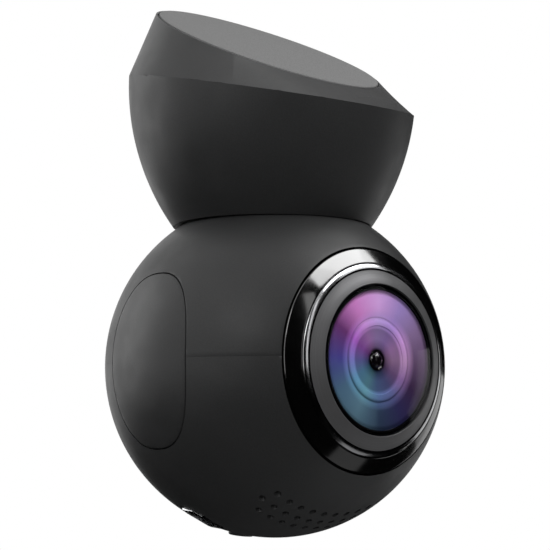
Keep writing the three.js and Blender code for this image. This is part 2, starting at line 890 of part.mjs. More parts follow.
function lensBarrel() {
  const { filterSeat, lensSeat, apertureSeat } = barrelChambers();
  const headFoot = barrelFront - barrelHeadLength;
  const sensorRoom = Math.hypot(sensorWidth, sensorHeight) / 2 + clearance;
  const filterRoom = Math.max(sensorRoom, filterRadius + clearance);
  const profile = [
    point(filterRoom, barrelFoot),
    point(barrelFootRadius, barrelFoot),
    point(barrelFootRadius, barrelFoot + barrelFootThickness),
    point(barrelTailRadius, barrelFoot + barrelFootThickness),
    point(barrelTailRadius, headFoot - barrelTaper),
    point(barrelRadius, headFoot),
    point(barrelRadius, barrelFront),
    point(chamberRadius, barrelFront),
    point(chamberRadius, apertureSeat),
    point(rearLensRadius + clearance, apertureSeat),
    point(rearLensRadius + clearance, lensSeat),
    point(filterRadius - filterLedge, lensSeat),
    point(filterRadius - filterLedge, filterSeat),
    point(filterRoom, filterSeat),
  ];
  return part('lens_barrel', turned(profile, forward), innerPlastic());
}

function frontLensElement() {
  const face = domeArc(barrelRadius, elementFoot + elementEdge, elementRise);
  const hollowRise = elementRise + elementEdge - elementCentre;
  const back = domeArc(chamberRadius, elementFoot, hollowRise);
  const profile = [...face, point(barrelRadius, elementFoot), ...back.reverse()];
  return part('front_lens_element', turned(profile, forward), coatedGlass());
}

function aperturePlate() {
  const { apertureSeat } = barrelChambers();
  const foot = apertureSeat + clearance;
  const edge = chamberRadius - clearance;
  const plate = tube(apertureRadius, edge, foot, foot + apertureThickness, forward);
  return part('aperture_plate', plate, innerPlastic());
}

function rearLensElement() {
  const { lensSeat } = barrelChambers();
  const foot = lensSeat + clearance + rearLensRise;
  const front = domeArc(rearLensRadius, foot + rearLensEdge, rearLensRise);
  const back = domeArc(rearLensRadius, -foot, rearLensRise).map((spot) => point(spot.x, -spot.y));
  return part('rear_lens_element', turned([...front, ...back.reverse()], forward), coatedGlass());
}

function irFilter() {
  const { filterSeat } = barrelChambers();
  const top = filterSeat - clearance;
  return part('ir_filter', rod(filterRadius, top - filterThickness, top, forward), filterGlass());
}

function imageSensor() {
  const middle = sensorBoardDepth + clearance + sensorThickness / 2;
  const body = block(sensorWidth, sensorThickness, sensorHeight, shift(0, -middle, 0));
  return part('image_sensor', body, chipCeramic());
}

function sensorBoard() {
  const middle = sensorBoardDepth - sensorBoardThickness / 2;
  const width = 2 * (postOffset + bossRadius);
  const plate = block(width, sensorBoardThickness, sensorBoardHeight, shift(0, -middle, 0));
  const holes = sensorScrewSpots().map((spot) => {
    return rod(shankRadius + screwGap, 0, ballRadius, forward.clone().multiply(spot), smallFacets);
  });
  return part('sensor_board', cut(plate, ...holes), boardLaminate());
}

function sensorScrewPlaces() {
  const seat = sensorBoardDepth - sensorBoardThickness - clearance;
  return sensorScrewSpots().map((spot) => spot.clone().multiply(shift(0, -seat, 0)));
}

function microphone() {
  const x = postOffset;
  const z = microphoneRadius - sensorBoardHeight / 2;
  const foot = sensorBoardDepth + clearance;
  const place = shift(x, 0, z).multiply(forward);
  const can = rod(microphoneRadius, foot, foot + microphoneHeight, place, smallFacets);
  return part('microphone', can, brightMetal());
}

// The back of the camera

function windowFace() {
  return surfaceDepth(windowRadius) - windowRecess;
}

function rearBezel() {
  const edgeAngle = Math.asin(bezelRadius / ballRadius);
  const innerAngle = Math.asin((windowRadius + clearance) / ballRadius);
  const ledge = windowFace() - windowThickness - clearance;
  const profile = [
    point(windowRadius - windowLedge, bezelFoot),
    point(bezelRadius, bezelFoot),
    ...ballArc(ballRadius, edgeAngle, innerAngle),
    point(windowRadius + clearance, ledge),
    point(windowRadius - windowLedge, ledge),
  ];
  return part('rear_bezel', turned(profile, backward, ballFacets), glossPlastic());
}

function displayWindow() {
  const face = windowFace();
  const pane = rod(windowRadius, face - windowThickness, face, backward, ballFacets);
  return part('display_window', pane, clearGlass());
}

function displayModule() {
  const top = windowFace() - windowThickness - clearance;
  const edge = windowRadius - windowLedge - clearance;
  const panel = rod(edge, top - screenThickness, top, backward, ballFacets);
  return part('display_module', panel, screenGlass());
}

// Boards and what stands on them

function mainBoard() {
  const radius = Math.sqrt((keyBack - keyTravel - clearance) ** 2 - boardBack ** 2);
  const disc = rod(radius, boardDepth, boardBack, backward, ballFacets);
  const limits = block(2 * boardSide, 2 * ballRadius, 2 * ballRadius);
  const holes = boardSpots().map(({ x, z }) => {
    return rod(shankRadius + screwGap, 0, ballRadius, shift(x, 0, z), smallFacets);
  });
  return part('main_board', cut(disc.intersect(limits), ...holes), boardLaminate());
}

function boardScrewPlaces() {
  return boardSpots().map(({ x, z }) => shift(x, boardFace, z).multiply(forward));
}

function processorShield() {
  const middle = shift(0, boardFace - shieldThickness / 2, shieldCentre);
  return part('processor_shield', block(shieldWidth, shieldThickness, shieldHeight, middle), brightMetal());
}

function battery() {
  const outline = roundedRectangle(batteryWidth, batteryHeight, batteryCorner);
  const foot = boardBack + clearance;
  const place = shift(0, foot + batteryThickness, batteryCentre).multiply(up);
  const cell = prism(outline, 0, batteryThickness, place);
  return part('battery', cell, cellFoil());
}

function usbSocket() {
  const reach = ballRadius + cutOverrun;
  const foot = ballRadius - usbLength;
  const inside = prism(usbShape(-usbWall), foot + usbWall, reach, usbFrame());
  const outside = prism(usbShape(0), foot, reach, usbFrame());
  const can = cut(outside, inside).intersect(ball(ballRadius + usbProud));
  const tongueFoot = foot + usbWall / 2;
  const tongueTip = ballRadius - usbTongueSetback;
  const tongue = slab(usbTongueWidth, usbTongueThickness, tongueFoot, tongueTip, usbFrame());
  return part('usb_socket', joined(can, tongue), brightMetal());
}

function cardMouth() {
  return surfaceDepth(cardDepth) - cardSink;
}

function cardSocket() {
  const halfWidth = cardWidth / 2 + clearance + cardSocketCheek;
  const mouth = Math.sqrt(innerRadius ** 2 - halfWidth ** 2 - boardFace ** 2) - clearance;
  const roomFoot = cardMouth() - cardLength - clearance;
  const roomHeight = cardThickness + 2 * clearance;
  const room = slab(cardWidth + 2 * clearance, roomHeight, roomFoot, ballRadius, cardFrame());
  const can = slab(2 * halfWidth, cardSocketHeight, roomFoot - cardSocketWall, mouth, cardFrame());
  return part('card_socket', cut(can, room), brightMetal());
}

function memoryCard() {
  const x = cardWidth / 2;
  const mouth = cardMouth();
  const foot = mouth - cardLength;
  const outline = new THREE.Shape([
    point(-x, foot),
    point(x - cardNotch, foot),
    point(x - cardNotch, foot + cardNotchLength - cardNotch),
    point(x, foot + cardNotchLength),
    point(x, mouth),
    point(-x, mouth),
  ]);
  const stand = shift(0, cardThickness / 2, 0).multiply(up);
  return part('memory_card', prism(outline, 0, cardThickness, cardFrame().multiply(stand)), cardPlastic());
}

// Keys and switches

function sideKey(name, side) {
  const frame = sideFrame(side, keyShift);
  const face = ball(ballRadius).intersect(prism(oval(0), 0, ballRadius, frame));
  const lip = ball(innerRadius - clearance).intersect(prism(oval(keyLip), 0, ballRadius, frame));
  const stemTip = boardSide + plungerProud + clearance;
  const stemPlace = sideFrame(side, switchDepth).multiply(up);
  const stem = rod(keyStemRadius, stemTip, keyBack + rootDepth, stemPlace, smallFacets);
  return part(name, joined(cut(joined(face, lip), ball(keyBack)), stem), keyPlastic());
}

function resetKey() {
  const place = resetFrame().multiply(up);
  const lipTop = Math.sqrt((innerRadius - clearance) ** 2 - (switchDepth + resetRadius + resetLip) ** 2);
  const lipFoot = lipTop - resetLipThickness;
  const edge = surfaceDepth(switchDepth);
  const profile = [
    point(0, resetSwitchFace + resetPlungerProud + clearance),
    point(plungerRadius, resetSwitchFace + resetPlungerProud + clearance),
    point(plungerRadius, lipFoot),
    point(resetRadius + resetLip, lipFoot),
    point(resetRadius + resetLip, lipTop),
    point(resetRadius, lipTop),
    ...domeArc(resetRadius, edge, resetProud).reverse(),
  ];
  return part('reset_button', turned(profile, place, smallFacets), keyPlastic());
}

// A switch box with a hole in the face that the plunger comes out of
function switchBox(name, sizeX, sizeY, length, place, face, travel) {
  const box = slab(sizeX, sizeY, face - length, face, place);
  const roomFoot = face - plungerSeat - travel - clearance;
  const axis = place.clone().multiply(up);
  const room = rod(plungerRadius + clearance, roomFoot, ballRadius, axis, smallFacets);
  return part(name, cut(box, room), chipCeramic());
}

function plunger(name, place, face, proud) {
  const pin = rod(plungerRadius, face - plungerSeat, face + proud, place.clone().multiply(up), smallFacets);
  return part(name, pin, whitePlastic());
}

function sideSwitch(name, side) {
  const place = sideFrame(side, switchDepth);
  return switchBox(name, switchHeight, switchWidth, switchLength, place, boardSide, keyTravel);
}

function resetSwitch() {
  const sizes = [resetSwitchWidth, switchHeight, resetSwitchLength];
  return switchBox('reset_switch', ...sizes, resetFrame(), resetSwitchFace, resetTravel);
}

// The loudspeaker

// Frame of the loudspeaker: its own Z points out through the middle of the holes
function grilleFrame() {
  return new THREE.Matrix4().makeRotationX(Math.PI - grilleAngle);
}

function speakerFace() {
  const reach = innerRadius - clearance;
  return Math.sqrt(reach ** 2 - (speakerWidth / 2) ** 2 - (speakerHeight / 2) ** 2) - clearance;
}

function speaker() {
  const outline = roundedRectangle(speakerWidth, speakerHeight, speakerCorner);
  const face = speakerFace();
  const body = prism(outline, face - speakerThickness, face, grilleFrame());
  return part('speaker', body, innerPlastic());
}

function speakerGasket() {
  const foot = speakerFace() + clearance;
  const width = speakerWidth - 2 * gasketInset;
  const height = speakerHeight - 2 * gasketInset;
  const outline = roundedRectangle(width, height, speakerCorner);
  const opening = roundedRectangle(width - 2 * gasketWall, height - 2 * gasketWall, speakerCorner / 2);
  const outside = prism(outline, foot, ballRadius, grilleFrame());
  const inside = prism(opening, 0, ballRadius, grilleFrame());
  return part('speaker_gasket', cut(outside.intersect(ball(innerRadius - clearance)), inside), foam());
}

// The whole camera

function mountPieces() {
  const yokeSeat = yokeHeight + yokeThickness + clearance;
  const yokePlaces = yokeSpots().map(({ x, y }) => shift(x, y, yokeSeat).multiply(up));
  return [
    mountCup(),
    mountCap(),
    adhesivePad(),
    mountMagnet(),
    magnetYoke(),
    ...screwRow('yoke_screw', yokePlaces),
    seatRing(),
  ];
}

function frontPieces() {
  return [
    frontFrame(),
    ...screwRow('front_screw', frameScrewPlaces(forward)),
    bezelRing(),
    lensRing(),
    lensCover(),
    lensBarrel(),
    frontLensElement(),
    aperturePlate(),
    rearLensElement(),
    irFilter(),
    imageSensor(),
    sensorBoard(),
    ...screwRow('sensor_screw', sensorScrewPlaces()),
    microphone(),
  ];
}

function rearPieces() {
  return [
    rearFrame(),
    ...screwRow('rear_screw', frameScrewPlaces(backward)),
    rearBezel(),
    displayWindow(),
    displayModule(),
  ];
}

function boardPieces() {
  return [
    mainBoard(),
    ...screwRow('board_screw', boardScrewPlaces()),
    processorShield(),
    battery(),
    usbSocket(),
    cardSocket(),
    memoryCard(),
    speaker(),
    speakerGasket(),
  ];
}

function keyPieces() {
  return [
    sideKey('left_button', -1),
    sideKey('right_button', 1),
    resetKey(),
    sideSwitch('left_switch', -1),
    sideSwitch('right_switch', 1),
    resetSwitch(),
    plunger('left_plunger', sideFrame(-1, switchDepth), boardSide, plungerProud),
    plunger('right_plunger', sideFrame(1, switchDepth), boardSide, plungerProud),
    plunger('reset_plunger', resetFrame(), resetSwitchFace, resetPlungerProud),
  ];
}

function dashCamera() {
  const camera = new THREE.Group();
  camera.name = 'dash_camera';
  camera.add(...mountPieces(), upperShell(), lowerShell(), steelKeeper());
  camera.add(...frontPieces(), ...rearPieces(), ...boardPieces(), ...keyPieces());
  for (const mesh of camera.children) {
    mesh.geometry.translate(-padCentre.x, -padCentre.y, -padCentre.z);
  }
  return camera;
}

export default dashCamera();
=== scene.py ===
# %% [markdown]
# # Dressing a dash camera
# The object is a ball camera that hangs from a windshield. A flared mount holds a charcoal ball by
# a magnet, and the ball carries a big lens on one side and a small round screen on the other. The
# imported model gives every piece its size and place. This lesson makes smooth, detailed pieces for
# what the eye sees, and gives each remaining piece a finish.

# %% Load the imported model
import math

import bpy
from mathutils import Matrix, Vector


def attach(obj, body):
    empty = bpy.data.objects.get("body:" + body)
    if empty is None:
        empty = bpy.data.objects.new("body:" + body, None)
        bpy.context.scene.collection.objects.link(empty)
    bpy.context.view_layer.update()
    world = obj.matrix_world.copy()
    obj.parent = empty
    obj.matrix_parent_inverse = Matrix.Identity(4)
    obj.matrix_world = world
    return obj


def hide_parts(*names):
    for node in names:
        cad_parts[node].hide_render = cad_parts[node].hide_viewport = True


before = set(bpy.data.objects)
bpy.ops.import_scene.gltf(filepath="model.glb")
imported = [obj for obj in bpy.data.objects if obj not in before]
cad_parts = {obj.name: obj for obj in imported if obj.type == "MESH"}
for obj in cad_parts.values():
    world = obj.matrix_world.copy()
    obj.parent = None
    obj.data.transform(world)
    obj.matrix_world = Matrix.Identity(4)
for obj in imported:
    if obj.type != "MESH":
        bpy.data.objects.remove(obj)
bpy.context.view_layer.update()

# %% [markdown]
# ## Places
# Lengths are written in millimetres, as on a drawing, and turned into metres with one factor. Most
# round pieces share the ball's middle, so four frames at that point are enough: one looks forward
# along the lens, one backward, one up, and one out through a side key. The mount's own axis lies
# a little behind the ball's middle, so it has a frame of its own.

# %% Units and frames
MM = 0.001
BALL_MIDDLE = Vector((0.0, -1.35, -52.1)) * MM
AT_BALL = Matrix.Translation(BALL_MIDDLE)
FORWARD = AT_BALL @ Matrix.Rotation(math.radians(90), 4, "X")
BACKWARD = AT_BALL @ Matrix.Rotation(math.radians(-90), 4, "X")
MOUNT_SETBACK = 0.65
AT_MOUNT = AT_BALL @ Matrix.Translation((0, MOUNT_SETBACK * MM, 0))
BALL_RADIUS = 27.0
SHELL_RADIUS = 25.2
GAP = 0.3


def side_frame(side):
    """Frame whose Z points out of the ball at the left (-1) or right (1); its X is upright."""
    return AT_BALL @ Matrix.Rotation(math.radians(90 * side), 4, "Y")


def edge_frame(degrees, depth):
    """Frame in the ball's lower edge: its Z points out, and its Y points to the front."""
    swing = Matrix.Rotation(math.radians(-degrees), 4, "Y")
    flip = Matrix.Rotation(math.pi, 4, "X")
    return AT_BALL @ swing @ flip @ Matrix.Translation((0, -depth * MM, 0))


print("ball middle:", tuple(BALL_MIDDLE))

# %% [markdown]
# ## Picking up and putting down
# An operator acts on all that is selected, so each step picks up one piece first. In edit mode, a
# test on the place or normal of each point, edge or face picks what the next operator changes.

# %% Selection helpers
def clear_selection():
    for thing in bpy.context.selected_objects:
        thing.select_set(False)


def take_up(piece):
    """Makes a piece the only selected object, and the active one."""
    clear_selection()
    piece.select_set(True)
    bpy.context.view_layer.objects.active = piece


def enter(kind="VERT"):
    """Opens edit mode on the active piece, picking by points, edges or faces."""
    kinds = ("VERT", "EDGE", "FACE")
    bpy.context.tool_settings.mesh_select_mode = [kind == each for each in kinds]
    bpy.ops.object.mode_set(mode="EDIT")


def leave():
    bpy.ops.object.mode_set(mode="OBJECT")


def pick_all(action="SELECT"):
    bpy.ops.mesh.select_all(action=action)


def face_outward():
    """Turns all faces of the mesh in edit mode outward, and leaves edit mode."""
    pick_all()
    bpy.ops.mesh.normals_make_consistent(inside=False)
    leave()


def pick(piece, kind, wanted):
    """Opens edit mode with only those points, edges or faces picked that pass a test."""
    mesh = piece.data
    groups = {"VERT": mesh.vertices, "EDGE": mesh.edges, "FACE": mesh.polygons}
    for group in groups.values():
        group.foreach_set("select", [False] * len(group))
    for item in groups[kind]:
        item.select = wanted(item)
    take_up(piece)
    enter(kind)


def settle(piece, place):
    """Puts a piece at its place in its mesh, and leaves its object at the origin."""
    piece.matrix_world = place @ piece.matrix_world
    take_up(piece)
    bpy.ops.object.transform_apply()

# %% [markdown]
# ## Turning round pieces
# Most of the camera is round about an axis: the cup, the rings, the lens. On a lathe such a piece
# is cut from a profile. Here a circle is extruded and resized once for each step of the profile,
# which gives clean rings of four-sided faces. The two ends are then bridged, filled or left open.

# %% Lathe
FINE_ROUND, DISC_ROUND, LENS_ROUND, SMALL_ROUND = 192, 160, 128, 48


def turn(name, profile, place, segments=FINE_ROUND, close="bridge"):
    """Turns a profile of (radius, height) points, in mm, about the Z axis of a place."""
    clear_selection()
    radius, height = profile[0]
    bpy.ops.mesh.primitive_circle_add(
        vertices=segments, radius=radius * MM, location=(0, 0, height * MM)
    )
    piece = bpy.context.object
    piece.name = name
    bpy.ops.object.transform_apply(location=True, rotation=False, scale=False)
    enter()
    pick_all()
    for next_radius, next_height in profile[1:]:
        rise = (next_height - height) * MM
        bpy.ops.mesh.extrude_region_move(TRANSFORM_OT_translate={"value": (0, 0, rise)})
        if next_radius == 0:
            bpy.ops.mesh.merge(type="CENTER")
            break
        factor = next_radius / radius
        middle = (0, 0, next_height * MM)
        bpy.ops.transform.resize(value=(factor, factor, 1), center_override=middle)
        radius, height = next_radius, next_height
    if close != "open":
        pick_all("DESELECT")
        bpy.ops.mesh.select_non_manifold()
        if close == "bridge":
            bpy.ops.mesh.bridge_edge_loops()
        else:
            bpy.ops.mesh.edge_face_add()
    face_outward()
    settle(piece, place)
    return piece


def arc(radius, from_degrees, to_degrees, steps, centre=(0.0, 0.0)):
    """Points (radius, height) of an arc, with the angle counted from the axis."""
    points = []
    for i in range(steps + 1):
        angle = math.radians(from_degrees + (to_degrees - from_degrees) * i / steps)
        points.append((centre[0] + radius * math.sin(angle), centre[1] + radius * math.cos(angle)))
    return points

# %% [markdown]
# ## Soft edges
# No moulded or turned edge is truly sharp. A narrow bevel catches a thin line of light, as the real
# edge does, and smooth shading stops at edges that stay sharper than a crease angle.

# %% Edge helpers
CREASE = 30


def shade(piece, angle=CREASE):
    """Shades a piece smooth, except across edges that are sharper than an angle in degrees."""
    take_up(piece)
    bpy.ops.object.shade_smooth_by_angle(angle=math.radians(angle))
    print(piece.name, "faces:", len(piece.data.polygons))


def soften(piece, width, segments=3, angle=CREASE):
    """Rounds the sharp edges by a width in mm, then shades the piece smooth between them."""
    take_up(piece)
    bevel = piece.modifiers.new("rounded edges", "BEVEL")
    bevel.width = width * MM
    bevel.segments = segments
    bevel.limit_method = "ANGLE"
    bevel.angle_limit = math.radians(angle)
    bpy.ops.object.modifier_apply(modifier=bevel.name)
    shade(piece, angle)

# %% [markdown]
# ## The cup of the mount
# The lower half of the mount flares up from a thin rim that just clears the ball. Its wall is
# turned on the mount's own axis and cut through by the slanted plane of the ridge, the way a saw
# would cut a turned blank. The hollow seat follows the ball instead, so it is carved afterwards.

# %% Mount cup blank
RIM_RADIUS, RIM_HEIGHT = 16.1, 22.64
CUP_RADIUS, CUP_WALL, WIDEST_HEIGHT, RIDGE_HEIGHT = 23.23, 2.2, 45.35, 43.9
RIDGE_TILT = math.radians(12.1)
RIDGE_SEAM = 0.004
SWELL, DROP = CUP_RADIUS - RIM_RADIUS, WIDEST_HEIGHT - RIM_HEIGHT
FLARE_RADIUS = (SWELL ** 2 + DROP ** 2) / (2 * SWELL)
CORE_RADIUS, SEAT_FLOOR, RIM_EDGE, CUP_TOP = 4.0, 28.6, 22.45, 52.0
RIDGE_NORMAL = Vector((0, -math.sin(RIDGE_TILT), math.cos(RIDGE_TILT)))


def cup_radius_at(height):
    """Outer radius of the flare, an arc that stands upright at the widest height."""
    return CUP_RADIUS - FLARE_RADIUS + math.sqrt(FLARE_RADIUS ** 2 - (height - WIDEST_HEIGHT) ** 2)


def cup_wall(low, high, steps, inset=0.0):
    """Points of the flare from one height to another, moved in by an inset."""
    heights = [low + (high - low) * i / steps for i in range(steps + 1)]
    return [(cup_radius_at(height) - inset, height) for height in heights]


def ridge_point(lift):
    """Where the mount's axis meets the slanted ridge, raised by a lift."""
    return BALL_MIDDLE + Vector((0, MOUNT_SETBACK, RIDGE_HEIGHT + lift)) * MM


outside = cup_wall(RIM_EDGE, CUP_TOP, 40)
inside = cup_wall(CUP_TOP, SEAT_FLOOR, 16, CUP_WALL)
blank = [(CORE_RADIUS, RIM_EDGE)] + outside + inside + [(CORE_RADIUS, SEAT_FLOOR)]
mount_cup = turn("mount_cup_body", blank, AT_MOUNT, close="open")
print("cup blank faces:", len(mount_cup.data.polygons))

# %% [markdown]
# ### Closing, sawing and carving
# A turned wall is open where its profile ends, a saw cut leaves an open edge, and a hollow needs a
# cutter. The exact boolean solver is slower than the fast one, but it keeps thin rims whole.

# %% Close, saw and carve helpers
def close_ends(piece):
    """Fills each open end of a turned piece with its own flat face."""
    take_up(piece)
    enter()
    pick_all("DESELECT")
    bpy.ops.mesh.select_non_manifold()
    bpy.ops.mesh.edge_face_add()
    face_outward()


def saw(piece, point, normal, keep_above=False):
    """Cuts a piece by a plane and keeps one side, with the cut's edges left picked."""
    take_up(piece)
    enter()
    pick_all()
    bpy.ops.mesh.bisect(
        plane_co=point, plane_no=normal, clear_inner=keep_above, clear_outer=not keep_above
    )


def carve(piece, cutter, operation="DIFFERENCE"):
    """Cuts, joins or crosses a piece with another one, which is used up."""
    take_up(piece)
    cut = piece.modifiers.new("cut", "BOOLEAN")
    cut.operation = operation
    cut.object = cutter
    cut.solver = "EXACT"
    bpy.ops.object.modifier_apply(modifier=cut.name)
    bpy.data.objects.remove(cutter)


saw(mount_cup, ridge_point(-RIDGE_SEAM / 2), RIDGE_NORMAL)
bpy.ops.mesh.bridge_edge_loops()
leave()
close_ends(mount_cup)
print("sawn cup faces:", len(mount_cup.data.polygons))

# %% [markdown]
# ### The hollow seat
# The seat follows the ball with a small gap, and a groove in it holds the slide ring. The cutter is
# turned about the ball's own middle, so the gap is even all round.

# %% Seat of the cup
SEAT_GAP, GROOVE_RADIUS = 0.1, 28.8
SEAT_RADIUS = BALL_RADIUS + SEAT_GAP
SEAT_TOP, GROOVE_TOP, GROOVE_FOOT, SEAT_FOOT = 2, 20, 28, 40
hollow = arc(SEAT_RADIUS, SEAT_TOP, GROOVE_TOP, 6)
hollow += arc(GROOVE_RADIUS, GROOVE_TOP, GROOVE_FOOT, 4)
hollow += arc(SEAT_RADIUS, GROOVE_FOOT, SEAT_FOOT, 8)
seat = turn("seat", hollow, AT_BALL, close="fill")
carve(mount_cup, seat)
shade(mount_cup)

# %% [markdown]
# ## The cap of the mount
# The cap goes straight from the slanted ridge up to the round recess for the pad, which slants
# more. Its two edges are made first: the flare's section by the ridge's plane, very nearly an
# ellipse, and a tilted circle. Bridging them gives the ruled wall that the real moulding has.

# %% Edge of the cap at the ridge
def ridge_reach(side):
    """Radius of the flare at the ridge, at the front (-1), flank (0) or back (1)."""
    radius = CUP_RADIUS
    for _ in range(8):
        radius = cup_radius_at(RIDGE_HEIGHT + side * radius * math.tan(RIDGE_TILT))
    return radius


front_reach, flank_reach, back_reach = (ridge_reach(side) for side in (-1, 0, 1))
level_middle = (back_reach - front_reach) / 2
slant = Vector((0, math.cos(RIDGE_TILT), math.sin(RIDGE_TILT)))
ridge_middle = ridge_point(RIDGE_SEAM / 2) + slant * level_middle / math.cos(RIDGE_TILT) * MM
clear_selection()
bpy.ops.mesh.primitive_circle_add(
    vertices=FINE_ROUND, radius=MM, location=tuple(ridge_middle), rotation=(RIDGE_TILT, 0, 0)
)
mount_cap = bpy.context.object
mount_cap.name = "mount_cap_body"
mount_cap.scale = (flank_reach, (front_reach + back_reach) / 2 / math.cos(RIDGE_TILT), 1)
bpy.ops.object.transform_apply()
print("ridge radii:", [round(reach, 2) for reach in (front_reach, flank_reach, back_reach)])

# %% Wall of the cap
PAD_TILT = math.radians(27.1)
PAD_NORMAL = Vector((0, -math.sin(PAD_TILT), math.cos(PAD_TILT)))
PAD_PROUD = 0.25
CAP_TOP_RADIUS = 19.2
clear_selection()
bpy.ops.mesh.primitive_circle_add(
    vertices=FINE_ROUND,
    radius=CAP_TOP_RADIUS * MM,
    location=tuple(-PAD_NORMAL * PAD_PROUD * MM),
    rotation=(PAD_TILT, 0, 0),
)
mount_cap.select_set(True)
bpy.context.view_layer.objects.active = mount_cap
bpy.ops.object.join()
enter()
pick_all()
bpy.ops.mesh.bridge_edge_loops()
leave()
close_ends(mount_cap)
print("cap wall faces:", len(mount_cap.data.polygons))

# %% [markdown]
# ### Recess and spigot
# The top has a shallow recess for the pad, and a hollow spigot below locates the cap in the cup.
# Both are insets of an end face, extruded along its normal. Cutters would do it too, but an inset
# keeps the rim's points in line with the wall.

# %% Recess and spigot of the cap
PAD_THICKNESS = 1.1
PAD_FLOOR = PAD_THICKNESS + GAP
CAP_EDGE = 0.32
SPIGOT_DEPTH, SPIGOT_LEDGE, SPIGOT_WALL = 3.0, 3.6, 1.8
FACING = 0.999


def extrude_along(direction, length):
    move = direction * length * MM
    bpy.ops.mesh.extrude_region_move(TRANSFORM_OT_translate={"value": tuple(move)})


pick(mount_cap, "FACE", lambda face: face.normal.dot(PAD_NORMAL) > FACING)
bpy.ops.mesh.inset(thickness=CAP_EDGE * MM, depth=0)
extrude_along(-PAD_NORMAL, PAD_FLOOR - PAD_PROUD)
leave()
pick(mount_cap, "FACE", lambda face: face.normal.dot(RIDGE_NORMAL) < -FACING)
bpy.ops.mesh.inset(thickness=SPIGOT_LEDGE * MM, depth=0)
extrude_along(-RIDGE_NORMAL, SPIGOT_DEPTH)
bpy.ops.mesh.inset(thickness=SPIGOT_WALL * MM, depth=0)
extrude_along(RIDGE_NORMAL, SPIGOT_DEPTH)
leave()
shade(mount_cap)

# %% [markdown]
# ## The adhesive pad
# A die-cut disc of acrylic foam that sticks to the windshield. The die presses its edge round, so
# a turned disc with a bevel is all that it needs.

# %% Adhesive pad
PAD_RADIUS = 18.7
PAD_PLACE = Matrix.Rotation(PAD_TILT, 4, "X")
pad_profile = [(PAD_RADIUS, -PAD_THICKNESS), (PAD_RADIUS, 0.0)]
adhesive_pad = turn("foam_pad", pad_profile, PAD_PLACE, DISC_ROUND, close="fill")
soften(adhesive_pad, 0.2)

# %% [markdown]
# ## The oval of the side keys
# Each side has a big oval key, fuller than an ellipse, so the points of a circle are moved out by a
# power. One bar of this outline makes the key, its lip and, a little wider, the opening.

# %% Oval bar
KEY_HALF_WIDTH, KEY_HALF_HEIGHT, KEY_SHIFT = 8.85, 13.2, 0.2
KEY_POWER = 2.4
KEY_POINTS = 96


def fuller(share):
    """How far a point of a circle moves along one axis to make the circle a fuller oval."""
    return share ** (2 / KEY_POWER - 1) if share > 1e-6 else 1.0


def oval_prism(name, grow, low, high, side):
    """An upright oval bar that points out through one side of the ball."""
    count = KEY_POINTS
    middle = (0, 0, low * MM)
    clear_selection()
    bpy.ops.mesh.primitive_circle_add(vertices=count, radius=MM, location=middle, fill_type="NGON")
    bar = bpy.context.object
    bar.name = name
    bpy.ops.object.transform_apply()
    for i in range(count // 4 + 1):
        mirrored = {i, count // 2 - i, count // 2 + i, (count - i) % count}
        spot = bar.data.vertices[i].co / MM
        stretch_x = (KEY_HALF_HEIGHT + grow) * fuller(abs(spot.x))
        stretch_y = (KEY_HALF_WIDTH + grow) * fuller(abs(spot.y))
        pick(bar, "VERT", lambda vertex: vertex.index in mirrored)
        bpy.ops.transform.resize(value=(stretch_x, stretch_y, 1), center_override=middle)
        leave()
    enter()
    pick_all()
    extrude_along(Vector((0, 0, 1)), high - low)
    face_outward()
    settle(bar, Matrix.Translation((0, KEY_SHIFT * MM, 0)) @ side_frame(side))
    return bar

# %% [markdown]
# ## The two shells
# Both half shells are moulded from one sphere. A band of the sphere, open at the lens and at the
# screen, is turned with its inner wall, and the two key openings are carved out of it. One band
# that is split later gives two halves that meet exactly, which two half balls might not.

# %% Ball band with its key openings
PORT_RADIUS = 17.3
KEY_SEAM = 0.2
OPENING_LOW, OPENING_HIGH = 15.0, 30.0
outer_port = math.degrees(math.asin(PORT_RADIUS / BALL_RADIUS))
inner_port = math.degrees(math.asin(PORT_RADIUS / SHELL_RADIUS))
band = arc(BALL_RADIUS, outer_port, 180 - outer_port, 84)
band += arc(SHELL_RADIUS, 180 - inner_port, inner_port, 42)
shells = turn("upper_shell_body", band, FORWARD)
for side in (-1, 1):
    carve(shells, oval_prism("key opening", KEY_SEAM, OPENING_LOW, OPENING_HIGH, side))
print("band faces:", len(shells.data.polygons))

# %% [markdown]
# ### The seam
# The mould parts at the ball's middle, where a fine line shows between the key and the lens. The
# band is copied, and each copy loses its other half a hair past the middle.

# %% Split at the seam
bpy.ops.object.duplicate()
lower_shell = bpy.context.object
upper_shell = shells
lower_shell.name = "lower_shell_body"
UP = Vector((0, 0, 1))
SEAM = 0.1
for shell, lift, above in ((upper_shell, SEAM / 2, True), (lower_shell, -SEAM / 2, False)):
    saw(shell, BALL_MIDDLE + UP * lift * MM, UP, keep_above=above)
    bpy.ops.mesh.edge_face_add()
    leave()
    print(shell.name, "faces:", len(shell.data.polygons))

# %% [markdown]
# ### Openings in the lower edge
# The power socket, the reset key and the card's slot stand side by side, each square to the ball.
# Blocks and a rod, a small gap wider than the pieces, cut them out.

# %% Openings for the sockets
USB_ANGLE, USB_DEPTH, USB_WIDTH, USB_HEIGHT, USB_CORNER = -25.5, 3.75, 6.4, 3.9, 1.2
CARD_ANGLE, CARD_DEPTH, CARD_WIDTH, CARD_THICKNESS = 24.0, 4.7, 11.0, 0.8
RESET_ANGLE, RESET_DEPTH, RESET_RADIUS = -8.0, 3.9, 2.0
BLOCK_LENGTH, BLOCK_MIDDLE = 12, 26


